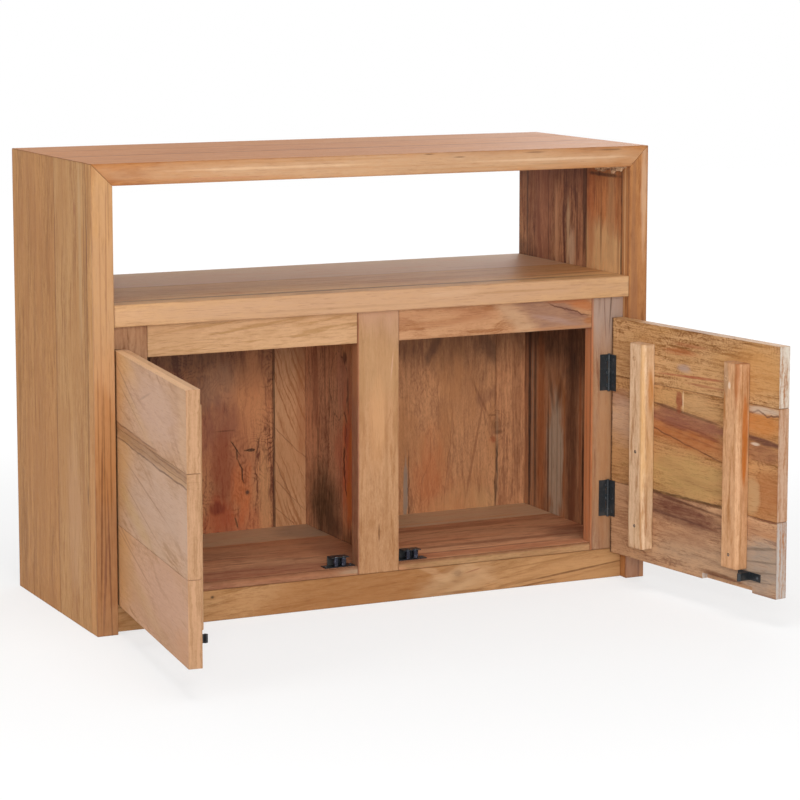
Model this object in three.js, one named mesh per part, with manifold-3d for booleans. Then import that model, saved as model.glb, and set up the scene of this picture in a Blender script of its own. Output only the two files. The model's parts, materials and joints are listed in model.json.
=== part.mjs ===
// Television stand in solid board: a mitred case with an open niche above two hinged cupboards.
// Millimetres. X runs across the front from left to right, Y from front to back, Z up.
// The origin is on the floor, under the middle of the case. The doors stand open.

import * as THREE from 'three';
import { mergeVertices } from 'three/addons/utils/BufferGeometryUtils.js';
import Module from 'manifold-3d';

// Case: two sides and a top, mitred where they meet
const CASE_WIDTH = 800;
const CASE_DEPTH = 320;
const CASE_HEIGHT = 600;
const PANEL = 28;
const JOINT_GAP = 0.3;            // glue line or fit between two pieces that meet
const EDGING_DEPTH = 22;          // strip along the front of each side
const NARROWEST_BOARD = 20;
const TOP_BOARDS = [132, 100];    // widths from the front; the last board takes what is left
const LEFT_SIDE_BOARDS = [124];
const RIGHT_SIDE_BOARDS = [98];

// Shelf under the open niche
const NICHE_HEIGHT = 150;
const SHELF_THICKNESS = 28;
const SHELF_EDGING_DEPTH = 28;
const SHELF_BOARDS = [140];

// Face frame around the cupboards
const FRAME_RECESS = 15;
const FRAME_THICKNESS = 19;
const SIDE_STILE_WIDTH = 49;
const CENTRE_STILE_WIDTH = 60;
const TOP_RAIL_HEIGHT = 42;
const BOTTOM_RAIL_HEIGHT = 41;

// Floor, divider and back of the cupboards
const FLOOR_THICKNESS = 11;
const FLOOR_BOARDS = [199];
const BACK_RAIL_THICKNESS = 19;
const BEARER_WIDTH = 30;
const DIVIDER_THICKNESS = 12;
const DIVIDER_BOARDS = [136];
const BACK_THICKNESS = 12;
const BACK_INSET = 10;
const BACK_FOOT_GAP = 12;
const BACK_PLANKS = [157, 184, 181, 172];

// Doors
const DOOR_THICKNESS = 17;
const DOOR_TOP_OVERLAY = 13;      // how far the door covers the top rail
const DOOR_FOOT_OVERLAY = 15;     // how far the door reaches below the cupboard's floor
const DOOR_MEETING_GAP = 3;
const LEFT_DOOR_BOARDS = [105, 124];
const RIGHT_DOOR_BOARDS = [100, 147];
const LEFT_OPEN_ANGLE = 96;
const RIGHT_OPEN_ANGLE = 98;

// Battens on the back of each door, which swing in through the face frame
const BATTEN_WIDTH = 34;
const BATTEN_THICKNESS = 18;
const BATTEN_CHAMFER = 4;
const HINGE_BATTEN_SIDE_CLEARANCE = 36;   // to the side stile
const HINGE_BATTEN_FOOT_CLEARANCE = 6;    // over the floor
const HINGE_BATTEN_TOP_CLEARANCE = 13;    // under the top rail
const CATCH_BATTEN_SIDE_CLEARANCE = 28.5; // to the centre stile
const CATCH_BATTEN_FOOT_CLEARANCE = 1.2;  // over the roller catch
const CATCH_BATTEN_TOP_CLEARANCE = 15;

// Finger pull, a rebate in the back of the door's lower edge
const PULL_EDGE_DISTANCE = 46;    // from the door's free edge
const PULL_WIDTH = 100;
const PULL_HEIGHT = 8;
const PULL_DEPTH = 9;

// Butt hinges, laid on the front of the stile and the back of the door
const HINGE_SPACE = 5.2;          // door back to face frame when the door is shut
const OPEN_DOOR_CLEARANCE = 3.4;  // open door to the inside of the case side
const HINGE_HEIGHT = 50;
const HINGE_INSET = 76;           // hinge centre to the door's upper or lower edge
const LEAF_WIDTH = 13;
const LEAF_THICKNESS = 1.2;
const KNUCKLES = 5;
const KNUCKLE_GAP = 0.4;
const KNUCKLE_RADIUS = 2.3;
const KNUCKLE_CLEARANCE = 0.6;    // round a knuckle, to the other leaf and to the door's edge
const PIN_RADIUS = 1.2;
const PIN_HEAD_RADIUS = 1.9;
const PIN_HEAD_HEIGHT = 0.8;

// Double roller catches on the cupboard floor, and the strikes that enter them
const CATCH_STILE_CLEARANCE = 1;
const CATCH_SETBACK = 5.5;        // behind the front of the face frame
const CATCH_BASE_WIDTH = 44;
const CATCH_HOUSING_WIDTH = 26;
const CATCH_DEPTH = 15;
const CATCH_HEIGHT = 13.5;
const CATCH_SHEET = 1;
const ROLLER_RADIUS = 4;
const ROLLER_OVERHANG = 1;        // roller in front of the housing
const ROLLER_BARREL_EDGE = 0.6;
const STRIKE_WIDTH = 44;
const STRIKE_CLEARANCE = 0.5;      // over the catch's base and under its roof
const STRIKE_SHEET = 1;
const STRIKE_NECK_WIDTH = 2.4;
const STRIKE_HEAD_WIDTH = 6;
const STRIKE_TIP_WIDTH = 1.6;
const STRIKE_TIP_LENGTH = 3.2;
const STRIKE_NECK_REACH = 1.4;     // past the middle of the rollers
const STRIKE_HEAD_REACH = 3.6;

const ROUND_SEGMENTS = 24;

// Places that follow from the sizes
const caseFront = -CASE_DEPTH / 2;
const caseBack = CASE_DEPTH / 2;
const innerHalfWidth = CASE_WIDTH / 2 - PANEL;
const shelfTop = CASE_HEIGHT - PANEL - NICHE_HEIGHT;
const shelfUnderside = shelfTop - SHELF_THICKNESS;
const frameFront = caseFront + FRAME_RECESS;
const frameBack = frameFront + FRAME_THICKNESS;
const stileInnerEdge = innerHalfWidth - SIDE_STILE_WIDTH;
const floorUnderside = BOTTOM_RAIL_HEIGHT + JOINT_GAP;
const floorTop = floorUnderside + FLOOR_THICKNESS;
const backPanelBack = caseBack - BACK_INSET;
const backPanelFront = backPanelBack - BACK_THICKNESS;
const roomBack = backPanelFront - JOINT_GAP;
const topRailUnderside = shelfUnderside - JOINT_GAP - TOP_RAIL_HEIGHT;
const doorFoot = floorTop - DOOR_FOOT_OVERLAY;
const doorTop = topRailUnderside + DOOR_TOP_OVERLAY;
const centreStileEdge = CENTRE_STILE_WIDTH / 2;
const hingeX = innerHalfWidth - OPEN_DOOR_CLEARANCE - DOOR_THICKNESS - HINGE_SPACE / 2;
const hingeY = frameFront - HINGE_SPACE / 2;
const doorBackFace = -HINGE_SPACE / 2;                    // in the door's own frame, from the hinge axis
const doorStart = KNUCKLE_RADIUS + KNUCKLE_CLEARANCE;
const doorEnd = hingeX - DOOR_MEETING_GAP / 2;
const hingeHeights = { upper: doorTop - HINGE_INSET, lower: doorFoot + HINGE_INSET };
const catchFoot = floorTop + JOINT_GAP;
const catchCentre = centreStileEdge + CATCH_STILE_CLEARANCE + CATCH_BASE_WIDTH / 2;
const catchFront = frameFront + CATCH_SETBACK;
const rollerY = catchFront - ROLLER_OVERHANG + ROLLER_RADIUS;
const rollerOffset = STRIKE_NECK_WIDTH / 2 + JOINT_GAP + ROLLER_RADIUS;
const battens = {
  hinge_batten: {
    start: hingeX - stileInnerEdge + HINGE_BATTEN_SIDE_CLEARANCE,
    z: [floorTop + HINGE_BATTEN_FOOT_CLEARANCE, topRailUnderside - HINGE_BATTEN_TOP_CLEARANCE],
  },
  catch_batten: {
    start: hingeX - centreStileEdge - CATCH_BATTEN_SIDE_CLEARANCE - BATTEN_WIDTH,
    z: [catchFoot + CATCH_HEIGHT + CATCH_BATTEN_FOOT_CLEARANCE, topRailUnderside - CATCH_BATTEN_TOP_CLEARANCE],
  },
};

// Materials
const wood = (color, roughness = 0.62) => new THREE.MeshStandardMaterial({ color, roughness, metalness: 0 });
const honeyTeak = wood(0xc79767);
const paleTeak = wood(0xd0a67c);
const rosyTeak = wood(0xb98d6d);
const darkTeak = wood(0x8e5e3f, 0.7);
const blackSteel = new THREE.MeshStandardMaterial({ color: 0x2b2e30, roughness: 0.45, metalness: 0.7 });
const greySteel = new THREE.MeshStandardMaterial({ color: 0x4a4d52, roughness: 0.35, metalness: 0.8 });

const manifold = await Module();
manifold.setup();

/** Turns a closed three.js geometry into a solid that can be joined and cut. */
function solidFrom(geometry) {
  const bare = geometry.clone();
  bare.deleteAttribute('normal');
  bare.deleteAttribute('uv');
  const merged = mergeVertices(bare);
  return new manifold.Manifold(new manifold.Mesh({
    numProp: 3,
    vertProperties: new Float32Array(merged.attributes.position.array),
    triVerts: new Uint32Array(merged.index.array),
  }));
}

/** Turns a joined or cut solid back into a three.js geometry. */
function geometryFrom(solid) {
  const mesh = solid.getMesh();
  const geometry = new THREE.BufferGeometry();
  geometry.setAttribute('position', new THREE.BufferAttribute(mesh.vertProperties, 3));
  geometry.setIndex(new THREE.BufferAttribute(mesh.triVerts, 1));
  geometry.computeVertexNormals();
  return geometry;
}

/** A box between two values on each axis, as a geometry that holds its own place. */
function boxGeometry(x, y, z) {
  const geometry = new THREE.BoxGeometry(x[1] - x[0], y[1] - y[0], z[1] - z[0]);
  return geometry.translate((x[0] + x[1]) / 2, (y[0] + y[1]) / 2, (z[0] + z[1]) / 2);
}

/** A straight rod or bore along Z. */
function rodGeometry(radius, z) {
  const geometry = new THREE.CylinderGeometry(radius, radius, z[1] - z[0], ROUND_SEGMENTS);
  return geometry.rotateX(Math.PI / 2).translate(0, 0, (z[0] + z[1]) / 2);
}

/** A flat outline in X and Y, extruded up from z[0] to z[1]. */
function prismGeometry(points, z) {
  const shape = new THREE.Shape(points.map(([x, y]) => new THREE.Vector2(x, y)));
  const geometry = new THREE.ExtrudeGeometry(shape, { depth: z[1] - z[0], bevelEnabled: false });
  return geometry.translate(0, 0, z[0]);
}

/** An outline in X and Z, extruded back from y[0] to y[1]. */
function crossPrismGeometry(points, y) {
  return prismGeometry(points, [0, y[1] - y[0]]).rotateX(Math.PI / 2).translate(0, y[1], 0);
}

function addMesh(parent, name, geometry, material) {
  const mesh = new THREE.Mesh(geometry, material);
  mesh.name = name;
  parent.add(mesh);
  return mesh;
}

/** A plain board between two values on each axis. */
function addBoard(parent, name, x, y, z, material) {
  const geometry = new THREE.BoxGeometry(x[1] - x[0], y[1] - y[0], z[1] - z[0]);
  const mesh = addMesh(parent, name, geometry, material);
  mesh.position.set((x[0] + x[1]) / 2, (y[0] + y[1]) / 2, (z[0] + z[1]) / 2);
}

/** Lays boards side by side from start to end, with a glue line between them. */
function layBoards(start, end, widths) {
  const spans = [];
  let from = start;
  for (const width of widths) {
    if (end - (from + width + JOINT_GAP) < NARROWEST_BOARD) break;
    spans.push([from, from + width]);
    from += width + JOINT_GAP;
  }
  spans.push([from, end]);
  return spans;
}

/** The top: boards that run across, cut to 45 degrees at both ends. */
function buildTop() {
  const top = new THREE.Group();
  const outline = [
    [-CASE_WIDTH / 2, CASE_HEIGHT],
    [-innerHalfWidth, CASE_HEIGHT - PANEL],
    [innerHalfWidth, CASE_HEIGHT - PANEL],
    [CASE_WIDTH / 2, CASE_HEIGHT],
  ];
  layBoards(caseFront, caseBack, TOP_BOARDS).forEach((span, i) => {
    addMesh(top, `top_board_${i + 1}`, crossPrismGeometry(outline, span), honeyTeak);
  });
  return top;
}

/** One side: an edging strip and upright boards, cut to 45 degrees under the top. */
function buildSide(name, sign, widths) {
  const side = new THREE.Group();
  const mitreDrop = JOINT_GAP * Math.SQRT2;
  const outer = sign * CASE_WIDTH / 2;
  const inner = sign * innerHalfWidth;
  const outline = [
    [outer, 0],
    [inner, 0],
    [inner, CASE_HEIGHT - PANEL - mitreDrop],
    [outer, CASE_HEIGHT - mitreDrop],
  ];
  const [edging, ...boards] = layBoards(caseFront, caseBack, [EDGING_DEPTH, ...widths]);
  addMesh(side, `${name}_side_edging`, crossPrismGeometry(outline, edging), paleTeak);
  boards.forEach((span, i) => {
    addMesh(side, `${name}_side_board_${i + 1}`, crossPrismGeometry(outline, span), honeyTeak);
  });
  return side;
}

/** The shelf, from side to side, with an edging strip in front. */
function buildShelf() {
  const shelf = new THREE.Group();
  const x = [-innerHalfWidth + JOINT_GAP, innerHalfWidth - JOINT_GAP];
  const z = [shelfUnderside, shelfTop];
  const [edging, ...boards] = layBoards(caseFront, caseBack, [SHELF_EDGING_DEPTH, ...SHELF_BOARDS]);
  addBoard(shelf, 'shelf_edging', x, edging, z, paleTeak);
  boards.forEach((span, i) => addBoard(shelf, `shelf_board_${i + 1}`, x, span, z, rosyTeak));
  return shelf;
}

/** The face frame: three stiles on a bottom rail, with a top rail over each cupboard. */
function buildFaceFrame() {
  const frame = new THREE.Group();
  const y = [frameFront, frameBack];
  const wall = innerHalfWidth - JOINT_GAP;
  const stileZ = [BOTTOM_RAIL_HEIGHT + JOINT_GAP, shelfUnderside - JOINT_GAP];
  const topRailZ = [topRailUnderside, shelfUnderside - JOINT_GAP];
  addBoard(frame, 'left_stile', [-wall, -stileInnerEdge], y, stileZ, rosyTeak);
  addBoard(frame, 'centre_stile', [-centreStileEdge, centreStileEdge], y, stileZ, honeyTeak);
  addBoard(frame, 'right_stile', [stileInnerEdge, wall], y, stileZ, rosyTeak);
  const railX = [centreStileEdge + JOINT_GAP, stileInnerEdge - JOINT_GAP];
  addBoard(frame, 'left_top_rail', [-railX[1], -railX[0]], y, topRailZ, paleTeak);
  addBoard(frame, 'right_top_rail', railX, y, topRailZ, rosyTeak);
  addBoard(frame, 'bottom_rail', [-wall, wall], y, [0, BOTTOM_RAIL_HEIGHT], paleTeak);
  return frame;
}

/** The front floor board's outline, which reaches forward between the stiles. */
function notchedFloorOutline(back) {
  const wall = innerHalfWidth - JOINT_GAP;
  const behind = frameBack + JOINT_GAP;
  const outerLip = stileInnerEdge - JOINT_GAP;
  const innerLip = centreStileEdge + JOINT_GAP;
  const rightHalf = [
    [innerLip, behind],
    [innerLip, frameFront],
    [outerLip, frameFront],
    [outerLip, behind],
    [wall, behind],
    [wall, back],
  ];
  const leftHalf = rightHalf.map(([x, y]) => [-x, y]).reverse();
  return [...leftHalf, ...rightHalf];
}

/** Floor boards of the cupboards, on the bottom rail, a back rail and a bearer. */
function buildFloor() {
  const floor = new THREE.Group();
  const wall = innerHalfWidth - JOINT_GAP;
  const z = [floorUnderside, floorTop];
  const railY = [roomBack - BACK_RAIL_THICKNESS, roomBack];
  layBoards(frameFront, roomBack, FLOOR_BOARDS).forEach((span, i) => {
    const name = `floor_board_${i + 1}`;
    if (i === 0) addMesh(floor, name, prismGeometry(notchedFloorOutline(span[1]), z), darkTeak);
    else addBoard(floor, name, [-wall, wall], span, z, darkTeak);
  });
  addBoard(floor, 'bottom_back_rail', [-wall, wall], railY, [0, BOTTOM_RAIL_HEIGHT], darkTeak);
  const bearerY = [frameBack + JOINT_GAP, railY[0] - JOINT_GAP];
  const bearerX = [-BEARER_WIDTH / 2, BEARER_WIDTH / 2];
  addBoard(floor, 'centre_bearer', bearerX, bearerY, [0, BOTTOM_RAIL_HEIGHT], darkTeak);
  return floor;
}

/** The divider, behind the right edge of the centre stile. */
function buildDivider() {
  const divider = new THREE.Group();
  const x = [centreStileEdge - DIVIDER_THICKNESS, centreStileEdge];
  const z = [floorTop + JOINT_GAP, shelfUnderside - JOINT_GAP];
  layBoards(frameBack + JOINT_GAP, roomBack, DIVIDER_BOARDS).forEach((span, i) => {
    addBoard(divider, `divider_board_${i + 1}`, x, span, z, darkTeak);
  });
  return divider;
}

/** Upright planks that close the back of the cupboards. */
function buildBack() {
  const back = new THREE.Group();
  const wall = innerHalfWidth - JOINT_GAP;
  const y = [backPanelFront, backPanelBack];
  const z = [BACK_FOOT_GAP, shelfUnderside - JOINT_GAP];
  layBoards(-wall, wall, BACK_PLANKS).forEach((span, i) => {
    addBoard(back, `back_plank_${i + 1}`, span, y, z, darkTeak);
  });
  return back;
}

/** One hinge leaf about the axis: a plate, and every second knuckle, bored for the pin. */
function leafGeometry(direction, y, firstKnuckle) {
  const half = HINGE_HEIGHT / 2;
  const pitch = (HINGE_HEIGHT + KNUCKLE_GAP) / KNUCKLES;
  // The plate's near corner stands a joint gap off the other leaf's knuckles.
  const plateSide = HINGE_SPACE / 2 - LEAF_THICKNESS - JOINT_GAP;
  const plateStart = Math.sqrt((KNUCKLE_RADIUS + JOINT_GAP) ** 2 - plateSide ** 2);
  const across = (from, to) => [direction * from, direction * to].sort((a, b) => a - b);
  let leaf = solidFrom(boxGeometry(across(plateStart, LEAF_WIDTH), y, [-half, half]));
  for (let i = firstKnuckle; i < KNUCKLES; i += 2) {
    const z = [-half + i * pitch, -half + (i + 1) * pitch - KNUCKLE_GAP];
    leaf = leaf.add(solidFrom(boxGeometry(across(0, plateStart + LEAF_THICKNESS), y, z)));
    leaf = leaf.add(solidFrom(rodGeometry(KNUCKLE_RADIUS, z)));
  }
  const bore = solidFrom(rodGeometry(PIN_RADIUS + JOINT_GAP, [-half - 1, half + 1]));
  return geometryFrom(leaf.subtract(bore));
}

/** A pin with a small head at each end, just clear of the end knuckles. */
function pinGeometry() {
  const headStart = HINGE_HEIGHT / 2 + JOINT_GAP;
  const headEnd = headStart + PIN_HEAD_HEIGHT;
  const profile = [
    [0, -headEnd],
    [PIN_HEAD_RADIUS, -headEnd],
    [PIN_HEAD_RADIUS, -headStart],
    [PIN_RADIUS, -headStart],
    [PIN_RADIUS, headStart],
    [PIN_HEAD_RADIUS, headStart],
    [PIN_HEAD_RADIUS, headEnd],
    [0, headEnd],
  ];
  const points = profile.map(([r, z]) => new THREE.Vector2(r, z));
  return new THREE.LatheGeometry(points, ROUND_SEGMENTS).rotateX(Math.PI / 2);
}

/** The leaves and pins that stay on the case, for both hinges of one door. */
function buildFrameHinges(name, sign) {
  const hinges = new THREE.Group();
  const y = [HINGE_SPACE / 2 - LEAF_THICKNESS - JOINT_GAP, HINGE_SPACE / 2 - JOINT_GAP];
  for (const [level, height] of Object.entries(hingeHeights)) {
    const hinge = new THREE.Group();
    hinge.position.set(sign * hingeX, hingeY, height);
    addMesh(hinge, `${name}_${level}_hinge_frame_leaf`, leafGeometry(-sign, y, 0), blackSteel);
    addMesh(hinge, `${name}_${level}_hinge_pin`, pinGeometry(), greySteel);
    hinges.add(hinge);
  }
  return hinges;
}

/** An upright batten with its two outer edges chamfered, on the back of a door. */
function battenGeometry(x, y, z) {
  const outline = [
    [x[0], y[0]],
    [x[1], y[0]],
    [x[1], y[1] - BATTEN_CHAMFER],
    [x[1] - BATTEN_CHAMFER, y[1]],
    [x[0] + BATTEN_CHAMFER, y[1]],
    [x[0], y[1] - BATTEN_CHAMFER],
  ];
  return prismGeometry(outline, z);
}

/** A strike: a plate on the door with an arrow-shaped blade that enters the roller catch. */
function strikeGeometry(centre, z) {
  const plateBack = doorBackFace + JOINT_GAP;
  const plateFront = plateBack + STRIKE_SHEET;
  const rollers = rollerY - hingeY;
  const neckEnd = rollers + STRIKE_NECK_REACH;
  const headWidest = rollers + STRIKE_HEAD_REACH;
  const rightHalf = [
    [STRIKE_WIDTH / 2, plateBack],
    [STRIKE_WIDTH / 2, plateFront],
    [STRIKE_NECK_WIDTH / 2, plateFront],
    [STRIKE_NECK_WIDTH / 2, neckEnd],
    [STRIKE_HEAD_WIDTH / 2, headWidest],
    [STRIKE_TIP_WIDTH / 2, headWidest + STRIKE_TIP_LENGTH],
  ];
  const leftHalf = rightHalf.map(([x, y]) => [-x, y]).reverse();
  const outline = [...rightHalf, ...leftHalf].map(([x, y]) => [centre + x, y]);
  return prismGeometry(outline, z);
}

/** One door, built shut about its hinge axis and then swung open. */
function buildDoor(name, sign, openAngle, boardHeights) {
  const door = new THREE.Group();
  door.position.set(sign * hingeX, hingeY, 0);
  door.rotation.z = sign * THREE.MathUtils.degToRad(openAngle);

  const across = (from, to) => [-sign * from, -sign * to].sort((a, b) => a - b);
  const x = across(doorStart, doorEnd);
  const y = [doorBackFace - DOOR_THICKNESS, doorBackFace];
  layBoards(doorFoot, doorTop, boardHeights).forEach((z, i) => {
    let board = solidFrom(boxGeometry(x, y, z));
    if (i === 0) {
      const pullEnd = doorEnd - PULL_EDGE_DISTANCE;
      const pullX = across(pullEnd - PULL_WIDTH, pullEnd);
      const pullY = [doorBackFace - PULL_DEPTH, doorBackFace + 1];
      board = board.subtract(solidFrom(boxGeometry(pullX, pullY, [doorFoot - 1, doorFoot + PULL_HEIGHT])));
    }
    addMesh(door, `${name}_door_board_${i + 1}`, geometryFrom(board), rosyTeak);
  });

  const battenY = [doorBackFace + JOINT_GAP, doorBackFace + JOINT_GAP + BATTEN_THICKNESS];
  for (const [battenName, batten] of Object.entries(battens)) {
    const battenX = across(batten.start, batten.start + BATTEN_WIDTH);
    addMesh(door, `${name}_door_${battenName}`, battenGeometry(battenX, battenY, batten.z), paleTeak);
  }

  const leafY = [doorBackFace + JOINT_GAP, doorBackFace + JOINT_GAP + LEAF_THICKNESS];
  for (const [level, height] of Object.entries(hingeHeights)) {
    const leaf = addMesh(door, `${name}_${level}_hinge_door_leaf`, leafGeometry(-sign, leafY, 1), blackSteel);
    leaf.position.z = height;
  }

  const strikeInset = CATCH_SHEET + STRIKE_CLEARANCE;
  const strikeZ = [catchFoot + strikeInset, catchFoot + CATCH_HEIGHT - strikeInset];
  const strike = strikeGeometry(-sign * (hingeX - catchCentre), strikeZ);
  addMesh(door, `${name}_door_strike`, strike, blackSteel);
  return door;
}

/** A roller with slightly rounded ends, standing between the plates of its housing. */
function rollerGeometry(height) {
  const edge = ROLLER_BARREL_EDGE;
  const points = [
    new THREE.Vector2(0, 0),
    new THREE.Vector2(ROLLER_RADIUS - edge, 0),
    new THREE.Vector2(ROLLER_RADIUS, edge),
    new THREE.Vector2(ROLLER_RADIUS, height - edge),
    new THREE.Vector2(ROLLER_RADIUS - edge, height),
    new THREE.Vector2(0, height),
  ];
  return new THREE.LatheGeometry(points, ROUND_SEGMENTS).rotateX(Math.PI / 2);
}

/** One roller catch: a folded housing on a base plate, and its two sprung rollers. */
function buildCatch(name, sign) {
  const unit = new THREE.Group();
  unit.position.set(sign * catchCentre, catchFront, catchFoot);
  const base = [-CATCH_BASE_WIDTH / 2, CATCH_BASE_WIDTH / 2];
  const housing = [-CATCH_HOUSING_WIDTH / 2, CATCH_HOUSING_WIDTH / 2];
  const depth = [0, CATCH_DEPTH];
  const rear = [CATCH_DEPTH - CATCH_SHEET, CATCH_DEPTH];
  const roof = [CATCH_HEIGHT - CATCH_SHEET, CATCH_HEIGHT];
  const bracket = solidFrom(boxGeometry(base, depth, [0, CATCH_SHEET]))
    .add(solidFrom(boxGeometry(housing, rear, [0, CATCH_HEIGHT])))
    .add(solidFrom(boxGeometry(housing, depth, roof)));
  addMesh(unit, `${name}_catch_bracket`, geometryFrom(bracket), blackSteel);

  const rollerHeight = CATCH_HEIGHT - 2 * CATCH_SHEET - 2 * JOINT_GAP;
  for (const [place, direction] of [['inner', -sign], ['outer', sign]]) {
    const roller = addMesh(unit, `${name}_catch_${place}_roller`, rollerGeometry(rollerHeight), greySteel);
    roller.position.set(direction * rollerOffset, rollerY - catchFront, CATCH_SHEET + JOINT_GAP);
  }
  return unit;
}

const stand = new THREE.Group();
stand.add(buildTop());
stand.add(buildSide('left', -1, LEFT_SIDE_BOARDS));
stand.add(buildSide('right', 1, RIGHT_SIDE_BOARDS));
stand.add(buildShelf());
stand.add(buildFaceFrame());
stand.add(buildFloor());
stand.add(buildDivider());
stand.add(buildBack());
for (const [name, sign, openAngle, boardHeights] of [
  ['left', -1, LEFT_OPEN_ANGLE, LEFT_DOOR_BOARDS],
  ['right', 1, RIGHT_OPEN_ANGLE, RIGHT_DOOR_BOARDS],
]) {
  stand.add(buildFrameHinges(name, sign));
  stand.add(buildDoor(name, sign, openAngle, boardHeights));
  stand.add(buildCatch(name, sign));
}

export default stand;
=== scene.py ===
"""Looks of a television stand in solid teak: an open niche above two cupboards with hinged doors.

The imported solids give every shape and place. This script eases their edges, gives each board its own
wood and each fitting its own metal, adds the screws, plugs and small parts of the fittings, and sets the
floor, the light and the camera. All lengths are in metres.
"""

import json
import logging
import math
from dataclasses import dataclass, field, replace
from enum import Enum
from functools import partial
from typing import Any, Callable, Iterable, Mapping, Optional, Sequence, Union

import bmesh
import bpy
from mathutils import Matrix, Vector, noise


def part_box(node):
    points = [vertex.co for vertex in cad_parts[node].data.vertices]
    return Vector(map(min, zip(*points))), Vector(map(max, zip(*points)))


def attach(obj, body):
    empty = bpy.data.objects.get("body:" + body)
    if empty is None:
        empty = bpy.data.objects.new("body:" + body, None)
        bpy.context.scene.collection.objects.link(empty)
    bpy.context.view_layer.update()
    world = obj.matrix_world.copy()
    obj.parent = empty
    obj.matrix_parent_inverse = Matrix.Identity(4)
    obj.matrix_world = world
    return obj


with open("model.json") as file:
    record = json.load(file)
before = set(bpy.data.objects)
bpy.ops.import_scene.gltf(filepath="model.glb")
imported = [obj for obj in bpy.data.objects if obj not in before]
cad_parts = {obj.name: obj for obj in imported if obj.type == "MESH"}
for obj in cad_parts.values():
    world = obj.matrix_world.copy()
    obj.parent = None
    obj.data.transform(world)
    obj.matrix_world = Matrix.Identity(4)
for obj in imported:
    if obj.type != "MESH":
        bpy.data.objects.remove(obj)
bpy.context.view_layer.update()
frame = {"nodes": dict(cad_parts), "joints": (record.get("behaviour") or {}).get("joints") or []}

LOG = logging.getLogger("television_stand")
MM_PER_M = 1000
UP = Vector((0, 0, 1))
FRONT = Vector((0, -1, 0))
STAND_MIDDLE = Vector((0, -0.1, 0.3))
WHITE = (1.0, 1.0, 1.0)
DUST = "7a7268"
WELD_REACH = 0.00001
EASING_STEPS = 2
SHARP_ANGLE = 28
PORE_SHADE = (0.42, 0.29, 0.2)
END_SHADE = (0.6, 0.5, 0.42)
EDGE_SHADE = (0.5, 0.38, 0.3)

Number = Union[float, "Value"]
Paint = Union[Sequence[float], bpy.types.NodeSocket]


def linear(code: str) -> tuple[float, float, float]:
    """Turns a colour written as six hex digits into linear light.

    Args:
        code: The colour, such as "c79a7c".

    Returns:
        Red, green and blue, from 0 to 1.
    """
    parts = [int(code[i : i + 2], 16) / 255 for i in (0, 2, 4)]
    return tuple(c / 12.92 if c <= 0.04045 else ((c + 0.055) / 1.055) ** 2.4 for c in parts)


# ---- Shaders ----


def operation(kind: str, swapped: bool = False) -> Callable[..., "Value"]:
    """Returns a method that joins a Value and the numbers it is given with a Math node.

    Args:
        kind: The node's operation.
        swapped: Whether the other number comes first.

    Returns:
        The method.
    """

    def method(self: "Value", *others: Number) -> "Value":
        """Adds the node and returns its result."""
        return self.shader.math(kind, *((*others, self) if swapped else (self, *others)))

    return method


class Value:
    """One number socket of a shader, with the arithmetic that the finishes use."""

    def __init__(self, shader: "Graph", socket: bpy.types.NodeSocket) -> None:
        """Wraps a socket of a node tree."""
        self.shader = shader
        self.socket = socket

    __add__ = __radd__ = operation("ADD")
    __sub__, __rsub__ = operation("SUBTRACT"), operation("SUBTRACT", swapped=True)
    __mul__ = __rmul__ = operation("MULTIPLY")
    __truediv__ = operation("DIVIDE")
    __pow__ = operation("POWER")
    __abs__ = operation("ABSOLUTE")
    least = operation("MINIMUM")
    most = operation("MAXIMUM")
    root = operation("SQRT")

    def ease(self, low: float, high: float) -> "Value":
        """Rises smoothly from 0 where self is low to 1 where it is high.

        Args:
            low: The value that gives 0. It may be larger than high, and then the result falls.
            high: The value that gives 1.

        Returns:
            The eased value.
        """
        falls = low > high
        start, end = (high, low) if falls else (low, high)
        made = self.shader.node(
            "ShaderNodeMapRange",
            {"interpolation_type": "SMOOTHSTEP", "clamp": True},
            {
                "Value": self, "From Min": start, "From Max": end,
                "To Min": float(falls), "To Max": float(not falls),
            },
        )
        return Value(self.shader, made.outputs["Result"])


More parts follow.
